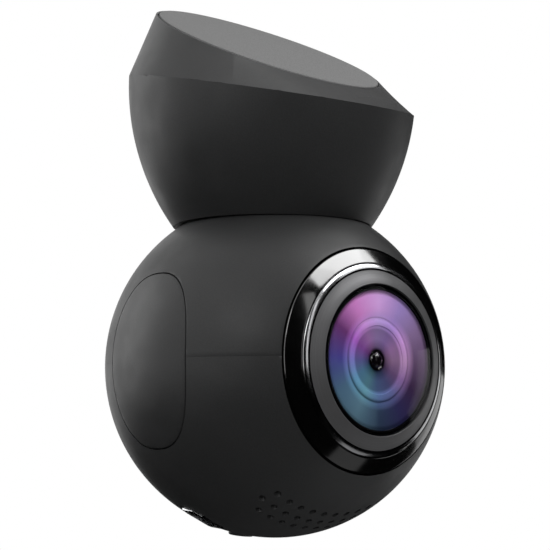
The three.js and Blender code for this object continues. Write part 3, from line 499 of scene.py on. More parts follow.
def cutting_block(width, height, place, corner=0.0):
    """A block through the shell's wall; a corner cuts the two long edges at its front."""
    clear_selection()
    bpy.ops.mesh.primitive_cube_add(size=1)
    block = bpy.context.object
    block.scale = (width * MM, height * MM, BLOCK_LENGTH * MM)
    block.location = (0, 0, BLOCK_MIDDLE * MM)
    bpy.ops.object.transform_apply()
    if corner:
        ends = block.data.vertices

        def upright_at_front(edge):
            a, b = (ends[i].co for i in edge.vertices)
            return abs(a.z - b.z) > MM and a.y > 0

        pick(block, "EDGE", upright_at_front)
        bpy.ops.mesh.bevel(offset=corner * MM, segments=1)
        leave()
    settle(block, place)
    return block


def cutting_rod(radius, place, low, high, sides=20):
    """A rod from a low to a high point along the Z axis of a place."""
    clear_selection()
    bpy.ops.mesh.primitive_cylinder_add(
        vertices=sides,
        radius=radius * MM,
        depth=(high - low) * MM,
        location=(0, 0, (high + low) / 2 * MM),
    )
    rod = bpy.context.object
    bpy.ops.object.transform_apply()
    settle(rod, place)
    return rod


def join_all(pieces):
    clear_selection()
    for piece in pieces:
        piece.select_set(True)
    bpy.context.view_layer.objects.active = pieces[0]
    bpy.ops.object.join()
    return bpy.context.object


usb_place = edge_frame(USB_ANGLE, USB_DEPTH)
card_place = edge_frame(CARD_ANGLE, CARD_DEPTH)
reset_place = edge_frame(RESET_ANGLE, RESET_DEPTH)
cutters = [
    cutting_block(USB_WIDTH + 2 * GAP, USB_HEIGHT + 2 * GAP, usb_place, USB_CORNER),
    cutting_block(CARD_WIDTH + 2 * GAP, CARD_THICKNESS + 2 * GAP, card_place),
    cutting_rod(RESET_RADIUS + GAP, reset_place, 20.0, 30.0, sides=SMALL_ROUND),
]
carve(lower_shell, join_all(cutters))
for shell in (upper_shell, lower_shell):
    soften(shell, 0.07, segments=2)

# %% [markdown]
# ### The grille
# Three rows of small holes let the speaker's sound out, the middle row half a pitch off. They are
# drilled after the edges are softened, because bevels on so many rims would crowd the mesh.

# %% Speaker grille
GRILLE_PITCH, GRILLE_ROW_PITCH, GRILLE_FORWARD, GRILLE_HOLE = 2.36, 2.15, 11.6, 0.53
GRILLE_ROWS = (11, 12, 11)
DRILL_LOW, DRILL_HIGH = -28.0, -18.0
holes = []
for row, count in enumerate(GRILLE_ROWS):
    y = (row - 1) * GRILLE_ROW_PITCH - GRILLE_FORWARD
    for i in range(count):
        spot = Matrix.Translation(((i - (count - 1) / 2) * GRILLE_PITCH * MM, y * MM, 0))
        holes.append(cutting_rod(GRILLE_HOLE, AT_BALL @ spot, DRILL_LOW, DRILL_HIGH))
print("grille holes:", len(holes))
carve(lower_shell, join_all(holes))
shade(lower_shell)

# %% [markdown]
# ## The side keys
# Each key continues the ball's surface inside a thin oval groove. So its face has to be a true
# piece of the sphere: an oval bar is cut to the sphere outside and inside, and a wider, deeper oval
# behind the shell's wall gives the lip that keeps the key in.

# %% Side keys
KEY_BACK, KEY_LIP = 23.8, 1.2
KEY_LOW, LIP_LOW, BAR_HIGH = 20.0, 18.0, 29.0


def smooth_ball(radius):
    """A fine sphere about the ball's middle, with its poles at the lens and the screen."""
    clear_selection()
    bpy.ops.mesh.primitive_uv_sphere_add(
        segments=FINE_ROUND, ring_count=FINE_ROUND // 2, radius=radius * MM
    )
    solid = bpy.context.object
    settle(solid, FORWARD)
    return solid


left_key = oval_prism("left_key_cap", 0.0, KEY_LOW, BAR_HIGH, -1)
carve(left_key, smooth_ball(BALL_RADIUS), "INTERSECT")
lip = oval_prism("lip", KEY_LIP, LIP_LOW, BAR_HIGH, -1)
carve(lip, smooth_ball(SHELL_RADIUS - GAP), "INTERSECT")
carve(left_key, lip, "UNION")
carve(left_key, smooth_ball(KEY_BACK))
soften(left_key, 0.14, segments=2)

# %% [markdown]
# ### The right key
# This is the left key's mirror image: a copy with its own mesh, resized by -1 across the ball. That
# turns its faces inside out, so they are flipped.

# %% Right key
right_key = left_key.copy()
right_key.data = left_key.data.copy()
right_key.name = "right_key_cap"
bpy.context.scene.collection.objects.link(right_key)
take_up(right_key)
enter()
pick_all()
bpy.ops.transform.resize(value=(-1, 1, 1), center_override=(0, 0, 0))
bpy.ops.mesh.flip_normals()
leave()
reach = max(spot.co.x for spot in right_key.data.vertices) / MM
print("right key reaches x =", round(reach, 3), "mm")

# %% [markdown]
# ## The reset key
# A small domed pin beside the power socket. A wider collar behind the wall keeps it in. Its stem,
# collar and dome are one profile, so it is turned in one go.

# %% Reset key
STEM_RADIUS, COLLAR_RADIUS = 0.7, 2.5
STEM_FOOT, COLLAR_FOOT, COLLAR_TOP, DOME_FOOT = 23.2, 23.36, 24.06, 26.72
reset_profile = [(STEM_RADIUS, STEM_FOOT), (STEM_RADIUS, COLLAR_FOOT)]
reset_profile += [(COLLAR_RADIUS, COLLAR_FOOT), (COLLAR_RADIUS, COLLAR_TOP)]
reset_profile += [(RESET_RADIUS, COLLAR_TOP), (RESET_RADIUS, DOME_FOOT)]
reset_profile += [(1.9, 26.86), (1.7, 26.94), (1.2, 26.99), (0.6, 27.01), (0.0, 27.015)]
reset_key = turn("reset_key_cap", reset_profile, reset_place, SMALL_ROUND, close="fill")
soften(reset_key, 0.06, segments=2, angle=50)

# %% [markdown]
# ## The front rings
# The gloss bezel carries the ball's curve on to the lens, but sinks 0.2 mm below the sphere towards
# its bore, so it mirrors a little less of the sides than the ball would.

# %% Front bezel
BEZEL_RADIUS, BEZEL_BORE, BEZEL_FOOT, BEZEL_LIP = 17.0, 14.7, 19.5, 22.4
BEZEL_SINK, BEZEL_STEPS = 0.0075, 12
bezel_edge = math.degrees(math.asin(BEZEL_RADIUS / BALL_RADIUS))
bezel_inner = math.degrees(math.atan2(BEZEL_BORE, BEZEL_LIP))
bezel_profile = [(BEZEL_BORE, BEZEL_FOOT), (BEZEL_RADIUS, BEZEL_FOOT)]
for i, (radius, height) in enumerate(arc(BALL_RADIUS, bezel_edge, bezel_inner, BEZEL_STEPS)):
    sunk = 1 - BEZEL_SINK * i / BEZEL_STEPS
    bezel_profile.append((radius * sunk, height * sunk))
bezel = turn("front_bezel", bezel_profile, FORWARD)
soften(bezel, 0.12)

# %% [markdown]
# ### The metal ring
# A turned metal ring rises to a bright crest and climbs as a satin cone to the glass, in one closed
# profile. The crest's chamfers are drawn point by point, to give the light a face to catch.

# %% Metal ring
RING_RADIUS, RING_BORE, CREST_DEPTH = 14.62, 10.6, 22.77
CONE_BORE, CONE_LEDGE = 11.45, 22.45
ring_profile = [(RING_BORE, BEZEL_FOOT), (RING_RADIUS, BEZEL_FOOT), (RING_RADIUS, 22.3)]
ring_profile += [(14.58, 22.42), (14.48, 22.5), (13.95, CREST_DEPTH), (13.8, 22.81), (13.66, 22.79)]
ring_profile += [(13.5, 22.84), (12.5, 23.34), (11.55, 23.82), (CONE_BORE, 23.8)]
ring_profile += [(CONE_BORE, CONE_LEDGE), (RING_BORE, CONE_LEDGE)]
metal_ring = turn("lens_ring_turned", ring_profile, FORWARD)
soften(metal_ring, 0.05, segments=2, angle=25)

# %% [markdown]
# ## The lens
# A clear domed cover protects the lens. Its outer face is an arc over a short skirt, turned as an
# open sheet. A Solidify modifier then gives it an even wall, which a second arc would not.

# %% Lens cover
COVER_RADIUS, COVER_WALL = 11.2, 0.5
COVER_FOOT, COVER_EDGE, COVER_RISE = 22.75, 23.75, 2.7
cover_curve = (COVER_RADIUS ** 2 + COVER_RISE ** 2) / (2 * COVER_RISE)
cover_angle = math.degrees(math.asin(COVER_RADIUS / cover_curve))
cover_top = COVER_EDGE + COVER_RISE
cover_profile = [(COVER_RADIUS, COVER_FOOT)]
cover_profile += arc(cover_curve, cover_angle, 0, 24, centre=(0, cover_top - cover_curve))[:-1]
cover_profile += [(0.0, cover_top)]
lens_cover = turn("lens_dome", cover_profile, FORWARD, LENS_ROUND, close="open")
wall = lens_cover.modifiers.new("wall", "SOLIDIFY")
wall.thickness = COVER_WALL * MM
wall.offset = -1
take_up(lens_cover)
bpy.ops.object.modifier_apply(modifier=wall.name)
shade(lens_cover, 40)

# %% [markdown]
# ### The coated front element
# Under the dome, the element's face swells gently, ends in a raised ring, and drops to a stage
# with the pupil, darker by painted shade, where a bead of glass catches the light. It is one
# profile, rim to axis.

# %% Coated front element
ELEMENT_RADIUS = 10.2
PUPIL_RADIUS, BEAD_RADIUS, BEAD_MIDDLE = 1.55, 1.4, 22.1
element_profile = [(ELEMENT_RADIUS, 20.4), (ELEMENT_RADIUS, 22.5), (10.55, 22.8), (10.55, 23.2)]
element_profile += [(ELEMENT_RADIUS, 23.22), (9.4, 23.26), (8.6, 23.28), (7.8, 23.26)]
element_profile += [(7.0, 23.2), (6.35, 23.1)]
element_profile += [(6.25, 23.2), (5.95, 23.3), (5.5, 23.32), (5.2, 23.26), (5.1, 23.12)]
element_profile += [(4.4, 23.0), (3.4, 22.92), (2.4, 22.88), (PUPIL_RADIUS, 22.86), (1.45, 22.7)]
element_profile += arc(BEAD_RADIUS, 68, 0, 8, centre=(0, BEAD_MIDDLE))
front_element = turn("coated_front_element", element_profile, FORWARD, LENS_ROUND, close="fill")
shade(front_element, 35)

# %% [markdown]
# ## The back
# The screen side mirrors the lens side in plain form: a gloss bezel and a flat window over a round
# display. The window lies a little below the bezel's edge, where it doesn't scratch.

# %% Rear bezel and window
WINDOW_RADIUS, WINDOW_SINK, WINDOW_THICKNESS = 15.2, 0.25, 0.9
LEDGE_DEPTH, REAR_BORE = 1.2, 14.4
window_face = math.sqrt(BALL_RADIUS ** 2 - WINDOW_RADIUS ** 2) - WINDOW_SINK
window_ledge = window_face - LEDGE_DEPTH
rear_inner = math.degrees(math.asin((WINDOW_RADIUS + GAP) / BALL_RADIUS))
rear_profile = [(REAR_BORE, BEZEL_FOOT), (BEZEL_RADIUS, BEZEL_FOOT)]
rear_profile += arc(BALL_RADIUS, bezel_edge, rear_inner, 8)
rear_profile += [(WINDOW_RADIUS + GAP, window_ledge), (REAR_BORE, window_ledge)]
rear_bezel = turn("rear_bezel_ring", rear_profile, BACKWARD)
soften(rear_bezel, 0.1)
window_profile = [(WINDOW_RADIUS, window_face - WINDOW_THICKNESS), (WINDOW_RADIUS, window_face)]
display_window = turn("screen_window", window_profile, BACKWARD, DISC_ROUND, close="fill")
soften(display_window, 0.15)

# %% [markdown]
# ## Finishes
# Every finish starts from one shader whose plain values sit on its own sockets. Patterns are added
# to it on Object coordinates, which a Mapping node turns into millimetres about the ball's middle.
# So grain, turning marks and smudges have their real size and stay with the piece when it moves.
# Small helpers add the nodes, so that each finish takes only a few lines.

# %% Node helpers
def start_finish(name, colour, roughness, **sockets):
    """A material with plain values on its shader; _ stands for a space in a socket's name."""
    material = bpy.data.materials.new(name)
    material.use_nodes = True
    shader = material.node_tree.nodes["Principled BSDF"]
    shader.inputs["Base Color"].default_value = (*colour, 1)
    shader.inputs["Roughness"].default_value = roughness
    for socket, value in sockets.items():
        shader.inputs[socket.replace("_", " ")].default_value = value
    return material


def add_node(material, kind, source=None, into=0, **values):
    """Adds a shader node with values on its sockets, and links a source into one of them."""
    node = material.node_tree.nodes.new("ShaderNode" + kind)
    for socket, value in values.items():
        node.inputs[socket.replace("_", " ")].default_value = value
    if source is not None:
        material.node_tree.links.new(source, node.inputs[into])
    return node


def feed(material, output, socket):
    """Links an output into the material's own shader."""
    shader = material.node_tree.nodes["Principled BSDF"]
    material.node_tree.links.new(output, shader.inputs[socket])


# %% Pattern helpers
def millimetres(material, turn_x=0.0, flat=False):
    """Object coordinates in millimetres about the ball's middle; flat leaves the axis out."""
    coordinates = add_node(material, "TexCoord")
    mapping = add_node(material, "Mapping", coordinates.outputs["Object"], Scale=(MM, MM, MM))
    mapping.vector_type = "TEXTURE"
    mapping.inputs["Location"].default_value = BALL_MIDDLE
    mapping.inputs["Rotation"].default_value = (math.radians(turn_x), 0, 0)
    if flat:
        mapping = add_node(material, "Mapping", mapping.outputs["Vector"], Scale=(1, 1, 0))
    return mapping.outputs["Vector"]


def noise(material, place, size, detail=3.0):
    """A cloudy pattern whose size is in millimetres."""
    return add_node(material, "TexNoise", place, Scale=1 / size, Detail=detail).outputs["Fac"]


def ramp(material, source, stops, socket=None):
    """Turns a pattern into colours between stops, and may link them into the shader."""
    node = add_node(material, "ValToRGB", source)
    elements = node.color_ramp.elements
    while len(elements) < len(stops):
        elements.new(0.5)
    for element, (position, colour) in zip(elements, stops):
        element.position = position
        element.color = (*colour, 1)
    if socket:
        feed(material, node.outputs["Color"], socket)
    return node.outputs["Color"]


def vary_roughness(material, source, low, high):
    """Lets a noise, which stays about 0.3 to 0.7, move the gloss between two levels."""
    levels = {"From_Min": 0.3, "From_Max": 0.7, "To_Min": low, "To_Max": high}
    feed(material, add_node(material, "MapRange", source, **levels).outputs["Result"], "Roughness")


def emboss(material, height, depth):
    """Turns a pattern into relief; depth is in millimetres."""
    node = add_node(material, "Bump", Distance=depth * MM)
    material.node_tree.links.new(height, node.inputs["Height"])
    feed(material, node.outputs["Normal"], "Normal")


def shades(colour, spread):
    return [tuple(channel * (1 + sign * spread) for channel in colour) for sign in (-1, 1)]


def grey(level):
    return (level, level, level)


# %% [markdown]
# ## Moulded plastic and foam
# A moulding copies its steel mould. A spark-eroded mould leaves a fine even grain, which is what
# keeps the ball dull. Two noises do this: a coarse one makes the gloss cloudy, and a fine one is
# the grain, in colour and in relief.

# %% Mouldings
def grained(name, colour, roughness, grain=0.22, depth=0.012, spread=0.1, gloss=0.06, **sockets):
    material = start_finish(name, colour, roughness, **sockets)
    place = millimetres(material)
    cloud = noise(material, place, 6.0)
    grains = noise(material, place, grain)
    dark, light = shades(colour, spread)
    ramp(material, grains, [(0.3, dark), (0.7, light)], "Base Color")
    vary_roughness(material, cloud, roughness - gloss, roughness + gloss)
    emboss(material, grains, depth)
    return material


CHARCOAL = (0.034, 0.0345, 0.035)
DULL = 0.4
shell_plastic = grained("grained charcoal", CHARCOAL, 0.46, Specular_IOR_Level=DULL)
key_plastic = grained("grained charcoal keys", CHARCOAL, 0.44, Specular_IOR_Level=DULL)
mount_plastic = grained("grained charcoal mount", CHARCOAL, 0.46, Specular_IOR_Level=DULL)
inner_plastic = grained("black moulding", (0.014, 0.014, 0.015), 0.5, grain=0.6, depth=0.006)
slide_plastic = grained("waxy slide ring", (0.024, 0.024, 0.026), 0.35, grain=1.2, depth=0.004)
card_plastic = grained("card moulding", (0.006, 0.006, 0.007), 0.45, grain=0.3, depth=0.006)
white_plastic = grained("natural white moulding", (0.68, 0.68, 0.66), 0.4, grain=0.8, depth=0.004)
chip_resin = grained("chip resin", (0.012, 0.013, 0.014), 0.55, grain=0.12, depth=0.01)
black_paint = grained(
    "black edge paint", (0.004, 0.004, 0.005), 0.7, grain=0.4, depth=0.003, Specular_IOR_Level=0.1
)
gloss_plastic = grained(
    "polished black", grey(0.002), 0.12, grain=5.0, depth=0.001, gloss=0.04, IOR=2.1
)
print("moulded finishes made, materials:", len(bpy.data.materials))

# %% [markdown]
# ### Foam
# The pad is cut through its foam cells. A Voronoi pattern, the distance to the nearest of many
# scattered points, looks just like that.

# %% Foam
CELL_SIZE = 0.28
foam = start_finish("acrylic foam", grey(0.26), 0.9, Specular_IOR_Level=0.2)
foam_place = millimetres(foam)
cells = add_node(foam, "TexVoronoi", foam_place, Scale=1 / CELL_SIZE).outputs["Distance"]
ramp(foam, cells, [(0.0, grey(0.2)), (0.5, grey(0.3))], "Base Color")
emboss(foam, cells, 0.02)
black_foam = grained(
    "black foam gasket", grey(0.008), 0.9, grain=0.3, depth=0.03, Specular_IOR_Level=0.1
)
print("plastics and foam:", len(bpy.data.materials))

# %% [markdown]
# ## Metal
# Turned metal carries fine rings about its axis, left by the tool. A noise that reads only the
# distance from the lens axis gives them. The satin cone is dulled, so it is only partly metal to
# the shader. Stamped and plated parts have a cloudy, slightly grainy face.

# %% Turned and plated metal
def turned_metal(name, colour, roughness, pitch, depth, spread=0.12, metal=1.0):
    material = start_finish(name, colour, roughness, Metallic=metal)
    place = millimetres(material, turn_x=90, flat=True)
    distance = add_node(material, "VectorMath", place)
    distance.operation = "LENGTH"
    rings = add_node(material, "TexNoise", Scale=1 / pitch, Detail=2.0)
    rings.noise_dimensions = "1D"
    material.node_tree.links.new(distance.outputs["Value"], rings.inputs["W"])
    dark, light = shades(colour, spread)
    ramp(material, rings.outputs["Fac"], [(0.3, dark), (0.7, light)], "Base Color")
    vary_roughness(material, noise(material, place, 4.0), roughness * 0.8, roughness * 1.2)
    emboss(material, rings.outputs["Fac"], depth)
    return material


crest_metal = turned_metal("polished crest", (0.72, 0.72, 0.74), 0.16, 0.12, 0.002)
cone_metal = turned_metal(
    "satin grey cone", (0.19, 0.19, 0.195), 0.42, 0.16, 0.003, spread=0.07, metal=0.6
)
bright_metal = grained("tinned sheet", (0.6, 0.6, 0.61), 0.28, grain=0.5, depth=0.003, Metallic=1.0)
steel = grained("zinc plated steel", (0.5, 0.51, 0.53), 0.32, grain=0.3, depth=0.004, Metallic=1.0)
nickel = grained("nickel plating", (0.66, 0.65, 0.62), 0.2, grain=2.5, depth=0.003, Metallic=1.0)
cell_foil = grained("foil pouch", (0.4, 0.41, 0.42), 0.36, grain=1.6, depth=0.03, Metallic=1.0)
print("finishes so far:", len(bpy.data.materials))

# %% [markdown]
# ## Circuit boards and the screen
# Solder mask is a green film over copper tracks, which show as slightly raised lines. A brick
# pattern with staggered joints makes believable tracks. The display is a fine grid of dots.

# %% Board and screen
board = start_finish("green solder mask", (0.006, 0.05, 0.015), 0.3)
tracks = add_node(
    board,
    "TexBrick",
    millimetres(board, turn_x=90),
    Scale=1.0,
    Color1=(0.006, 0.05, 0.015, 1),
    Color2=(0.008, 0.062, 0.02, 1),
    Mortar=(0.03, 0.12, 0.04, 1),
    Mortar_Size=0.12,
    Brick_Width=2.4,
    Row_Height=0.9,
)
feed(board, tracks.outputs["Color"], "Base Color")
emboss(board, tracks.outputs["Fac"], 0.03)

PIXEL = 0.11
screen = start_finish("dark display", (0.003, 0.0035, 0.006), 0.12)
dots = add_node(screen, "TexChecker", millimetres(screen, turn_x=90), Scale=1 / PIXEL)
dots.inputs["Color1"].default_value = (0.0025, 0.003, 0.005, 1)
dots.inputs["Color2"].default_value = (0.0035, 0.0045, 0.009, 1)
feed(screen, dots.outputs["Color"], "Base Color")
print("display dots:", PIXEL, "mm")

# %% [markdown]
# ## Glass
# Clear glass is the shader's own transmission. Light has to reach the coated lens under the dome,
# so for shadow rays alone the glass turns into a clear film. A cloudy noise leaves faint smudges.
# The dome has a low index, as a coated cover reflects little.

# %% Clear and tinted glass
def glass(name, colour, smudge=0.012, index=1.46, **sockets):
    material = start_finish(name, colour, 0.0, Transmission_Weight=1.0, IOR=index, **sockets)
    vary_roughness(material, noise(material, millimetres(material), 5.0), 0.0, smudge)
    nodes, links = material.node_tree.nodes, material.node_tree.links
    film = add_node(material, "BsdfTransparent", Color=(*colour, 1))
    rays = add_node(material, "LightPath")
    either = add_node(material, "MixShader", rays.outputs["Is Shadow Ray"])
    links.new(nodes["Principled BSDF"].outputs["BSDF"], either.inputs[1])
    links.new(film.outputs["BSDF"], either.inputs[2])
    links.new(either.outputs["Shader"], nodes["Material Output"].inputs["Surface"])
    return material


clear_glass = glass("clear dome glass", (0.98, 0.985, 0.99), index=1.12)
window_glass = glass("smoked window glass", (0.5, 0.5, 0.52))
tinted_glass = glass("violet coated glass", (0.75, 0.66, 0.9))
filter_glass = glass("teal filter glass", (0.6, 0.85, 0.88))
print("finishes with glass:", len(bpy.data.materials))

# %% [markdown]
# ## The lens coating and its painted reflections
# An anti-reflection coating reflects light in colours. Here those reflections are painted into the
# element's colour as a fixed pattern: painted pink and lavender reflections at the top, blue and
# teal at the lower left, and painted shade, near black, at the right. Real thin-film colours change
# with the view and the lamps, but this pattern doesn't. Two rounds of painted colours, one every 30
# degrees about the lens axis, serve the outer part of the glass and the part by the raised ring.
# A radial gradient gives the angle, and a spherical one the distance, once the radius is 1.

# %% Painted reflection colours of the coating
COLOUR_STEP = 30
# Painted reflections round the outer part of the glass, one colour every 30 degrees; the dark ones
# are painted shade.
OUTER_PAINTED_REFLECTIONS = (
    (0.155, 0.092, 0.185),
    (0.30, 0.19, 0.37),
    (0.42, 0.29, 0.67),
    (0.80, 0.44, 0.90),
    (0.74, 0.27, 0.69),
    (0.163, 0.046, 0.183),
    (0.077, 0.068, 0.31),
    (0.09, 0.175, 0.27),
    (0.123, 0.23, 0.306),
    (0.037, 0.06, 0.11),
    (0.037, 0.032, 0.108),
    (0.052, 0.027, 0.074),
)
# Painted reflections by the raised ring, one colour every 30 degrees.
INNER_PAINTED_REFLECTIONS = (
    (0.63, 0.36, 0.65),
    (0.73, 0.385, 0.84),
    (0.55, 0.34, 0.84),
    (0.62, 0.42, 0.87),
    (0.73, 0.35, 0.86),
    (0.51, 0.16, 0.69),
    (0.26, 0.23, 0.66),
    (0.16, 0.38, 0.60),
    (0.177, 0.414, 0.517),
    (0.135, 0.21, 0.435),
    (0.15, 0.16, 0.38),
    (0.30, 0.164, 0.40),
)
print("coating colours:", len(OUTER_PAINTED_REFLECTIONS) + len(INNER_PAINTED_REFLECTIONS))

# %% Angle and distance on the lens
# The base colour of this material is painted reflections and painted shade, built below.
coating_painted_reflections_and_shade = start_finish("lens coating", (0.3, 0.2, 0.5), 0.12, Specular_IOR_Level=0.05)
lens_place = millimetres(coating_painted_reflections_and_shade, turn_x=90, flat=True)
angle = add_node(coating_painted_reflections_and_shade, "TexGradient", lens_place)
angle.gradient_type = "RADIAL"


def round_the_lens(colours):
    """Painted reflection colours by the angle about the lens axis, ending with the first colour."""
    turns = [i * COLOUR_STEP / 360 for i in range(len(colours))]
    stops = sorted(((turned + 0.5) % 1.0, colour) for turned, colour in zip(turns, colours))
    return ramp(coating_painted_reflections_and_shade, angle.outputs["Fac"], stops + [(1.0, stops[0][1])])


shrink = 1 / ELEMENT_RADIUS
outward = add_node(coating_painted_reflections_and_shade, "Mapping", lens_place, Scale=(shrink, shrink, 1))
depth = add_node(coating_painted_reflections_and_shade, "TexGradient", outward.outputs["Vector"])
depth.gradient_type = "SPHERICAL"


def zone(radius):
    """Where a radius on the lens falls on the gradient, which is 1 at the axis and 0 at the rim."""
    return 1 - radius / ELEMENT_RADIUS


print("raised ring at", round(zone(5.5), 3), "on the gradient")

# %% [markdown]
# ### Blending the coating
# The outer painted reflections give way to the inner ones over a short distance. All is then
# multiplied by a grey of painted shade, darker at the rim, the foot of the raised ring, the stage
# inside it and the pupil.

# %% Blended coating
BLEND_FROM, BLEND_TO = 7.6, 6.0
# Painted shade: a grey for each radius, darker at the rim, the ring's foot, the stage and the
# pupil.
PAINTED_SHADE_ZONES = (
    (ELEMENT_RADIUS, 0.47),
    (9.8, 0.8),
    (6.6, 0.8),
    (6.3, 0.46),
    (5.9, 0.8),
    (5.0, 0.76),
    (4.6, 0.38),
    (3.2, 0.38),
    (2.0, 0.2),
    (PUPIL_RADIUS, 0.02),
)


def blend(kind, factor, first, second):
    """Mixes two colours by a pattern, or fully where there is none."""
    mix = add_node(coating_painted_reflections_and_shade, "Mix")
    mix.data_type = "RGBA"
    mix.blend_type = kind
    mix.inputs["Factor"].default_value = 1.0
    for output, socket in ((factor, "Factor"), (first, "A"), (second, "B")):
        if output is not None:
            coating_painted_reflections_and_shade.node_tree.links.new(output, mix.inputs[socket])
    return mix.outputs["Result"]


inner_share = [(zone(BLEND_FROM), grey(0)), (zone(BLEND_TO), grey(1))]
inward = ramp(coating_painted_reflections_and_shade, depth.outputs["Fac"], inner_share)
both = blend("MIX", inward, round_the_lens(OUTER_PAINTED_REFLECTIONS), round_the_lens(INNER_PAINTED_REFLECTIONS))
painted_shade_stops = [(zone(radius), grey(level)) for radius, level in PAINTED_SHADE_ZONES]
# Painted shade over the painted reflections.
painted_shade = ramp(coating_painted_reflections_and_shade, depth.outputs["Fac"], painted_shade_stops)
feed(coating_painted_reflections_and_shade, blend("MULTIPLY", None, both, painted_shade), "Base Color")
vary_roughness(coating_painted_reflections_and_shade, noise(coating_painted_reflections_and_shade, lens_place, 3.0), 0.08, 0.16)
# The bead's near-black colour is painted shade of the deep lens; its highlight is a real
# reflection.
pupil_glass_painted_shade = grained(
    "pupil glass with painted shade", (0.003, 0.002, 0.003), 0.08, grain=3.0, depth=0.0005, gloss=0.03, IOR=1.6
)
print("finishes:", len(bpy.data.materials))

# %% [markdown]
# ## Dressing the pieces
# Each new piece stands for one node of the imported model, gets its finish and rides its body.
# The table says for each piece its finish, body, slot and node.

# %% Dress the new pieces
dressing = (
    (mount_cup, mount_plastic, "mount", "shell_plastic", "mount_cup"),
    (mount_cap, mount_plastic, "mount", "shell_plastic", "mount_cap"),
    (adhesive_pad, foam, "mount", "foam", "adhesive_pad"),
    (upper_shell, shell_plastic, "camera", "shell_plastic", "upper_shell"),
    (lower_shell, shell_plastic, "camera", "shell_plastic", "lower_shell"),
    (left_key, key_plastic, "left_key", "key_plastic", "left_button"),
    (right_key, key_plastic, "right_key", "key_plastic", "right_button"),
    (reset_key, key_plastic, "reset_key", "key_plastic", "reset_button"),
    (bezel, gloss_plastic, "camera", "gloss_plastic", "bezel_ring"),
    (metal_ring, crest_metal, "camera", "ring_metal", "lens_ring"),
    (lens_cover, clear_glass, "camera", "clear_glass", "lens_cover"),
    (front_element, coating_painted_reflections_and_shade, "camera", "coated_glass", "front_lens_element"),
    (rear_bezel, gloss_plastic, "camera", "gloss_plastic", "rear_bezel"),
    (display_window, window_glass, "camera", "clear_glass", "display_window"),
)
for piece, material, body, slot, node in dressing:
    piece.data.materials.clear()
    piece.data.materials.append(material)
    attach(piece, body)
    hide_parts(node)
print("new pieces:", len(dressing))

# %% [markdown]
# ### Second finishes
# The ring's cone is duller than its crest, the dome's foot is painted black, and the bead in the
# pupil is dark glass, whose near-black colour is painted shade. Such faces get a second material,
# by their distance and depth.

# %% Second finishes
def dress_inside(piece, material, wanted):
    """Gives the faces whose distance from the axis and depth pass a test a second finish."""
    piece.data.materials.append(material)
    for face in piece.data.polygons:
        middle = FORWARD.inverted() @ face.center / MM
        if wanted(math.hypot(middle.x, middle.y), middle.z):
            face.material_index = 1
    count = sum(face.material_index for face in piece.data.polygons)
    print(piece.name, "faces in", material.name + ":", count)


CONE_OUTSIDE, FOOT_TOP, FOOT_INSIDE = 13.6, 23.7, 10.5
dress_inside(metal_ring, cone_metal, lambda radius, depth: radius < CONE_OUTSIDE)
dress_inside(
    lens_cover, black_paint, lambda radius, depth: depth < FOOT_TOP and radius > FOOT_INSIDE
)
dress_inside(
    front_element, pupil_glass_painted_shade, lambda radius, depth: depth > BEAD_MIDDLE and radius < PUPIL_RADIUS
)

# %% [markdown]
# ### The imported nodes
# All other nodes, such as screws, boards and sockets, keep their shape and get a finish by the name
# of their slot. The gasket is foam too, but black.

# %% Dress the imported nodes
FINISH_OF_SLOT = {
    "shell_plastic": shell_plastic,
    "key_plastic": key_plastic,
    "inner_plastic": inner_plastic,
    "gloss_plastic": gloss_plastic,
    "ring_metal": cone_metal,
    "bright_metal": bright_metal,
    "steel": steel,
    "magnet_plating": nickel,
    "foam": foam,
    "slide_plastic": slide_plastic,
    "clear_glass": clear_glass,
    "coated_glass": tinted_glass,
    "filter_glass": filter_glass,
    "board_laminate": board,
    "chip": chip_resin,
    "cell_foil": cell_foil,
    "screen": screen,
    "card_plastic": card_plastic,
    "white_plastic": white_plastic,
}
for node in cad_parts.values():
    for slot in node.material_slots:
        slot.material = FINISH_OF_SLOT[slot.material.name]
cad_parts["speaker_gasket"].material_slots[0].material = black_foam
print("packed nodes dressed:", len(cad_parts))

# %% [markdown]
# ## Camera
# The picture looks at the lens from the left front and a little from below, through a long lens.
# Its place and heading come from fitting a pinhole camera to the outlines in the photo.

# %% Camera
CAMERA_PLACE = (-196.87, -219.5, -17.21)
CAMERA_HEADING, CAMERA_PITCH = math.radians(41.89), math.radians(6.18)
camera = bpy.data.objects.new("camera", bpy.data.cameras.new("camera"))
bpy.context.scene.collection.objects.link(camera)
camera.data.sensor_width = 36
camera.data.lens = 121.07
camera.location = BALL_MIDDLE + Vector(CAMERA_PLACE) * MM
level_share = math.cos(CAMERA_PITCH)
view_line = Vector((
    level_share * math.sin(CAMERA_HEADING),
    level_share * math.cos(CAMERA_HEADING),
    math.sin(CAMERA_PITCH),
))
camera.rotation_euler = view_line.to_track_quat("-Z", "Y").to_euler()
bpy.context.scene.camera = camera
print("camera to ball:", round((camera.location - BALL_MIDDLE).length / MM, 1), "mm")

# %% [markdown]
# ## Studio lamps
# A long box above gives the bright arc on the gloss bezel, a broad key from the left front models
# the ball, and a tall box on the far left draws the strips on the mount. Fills that reflections
# don't see lift the dark sides without a mark on the gloss. Faint panels do the opposite: they
# hardly light anything, but the crest, the cone and the bezel's lower arc mirror them.

# %% Lamps
AIM = BALL_MIDDLE + Vector((0, 0, 0.01))


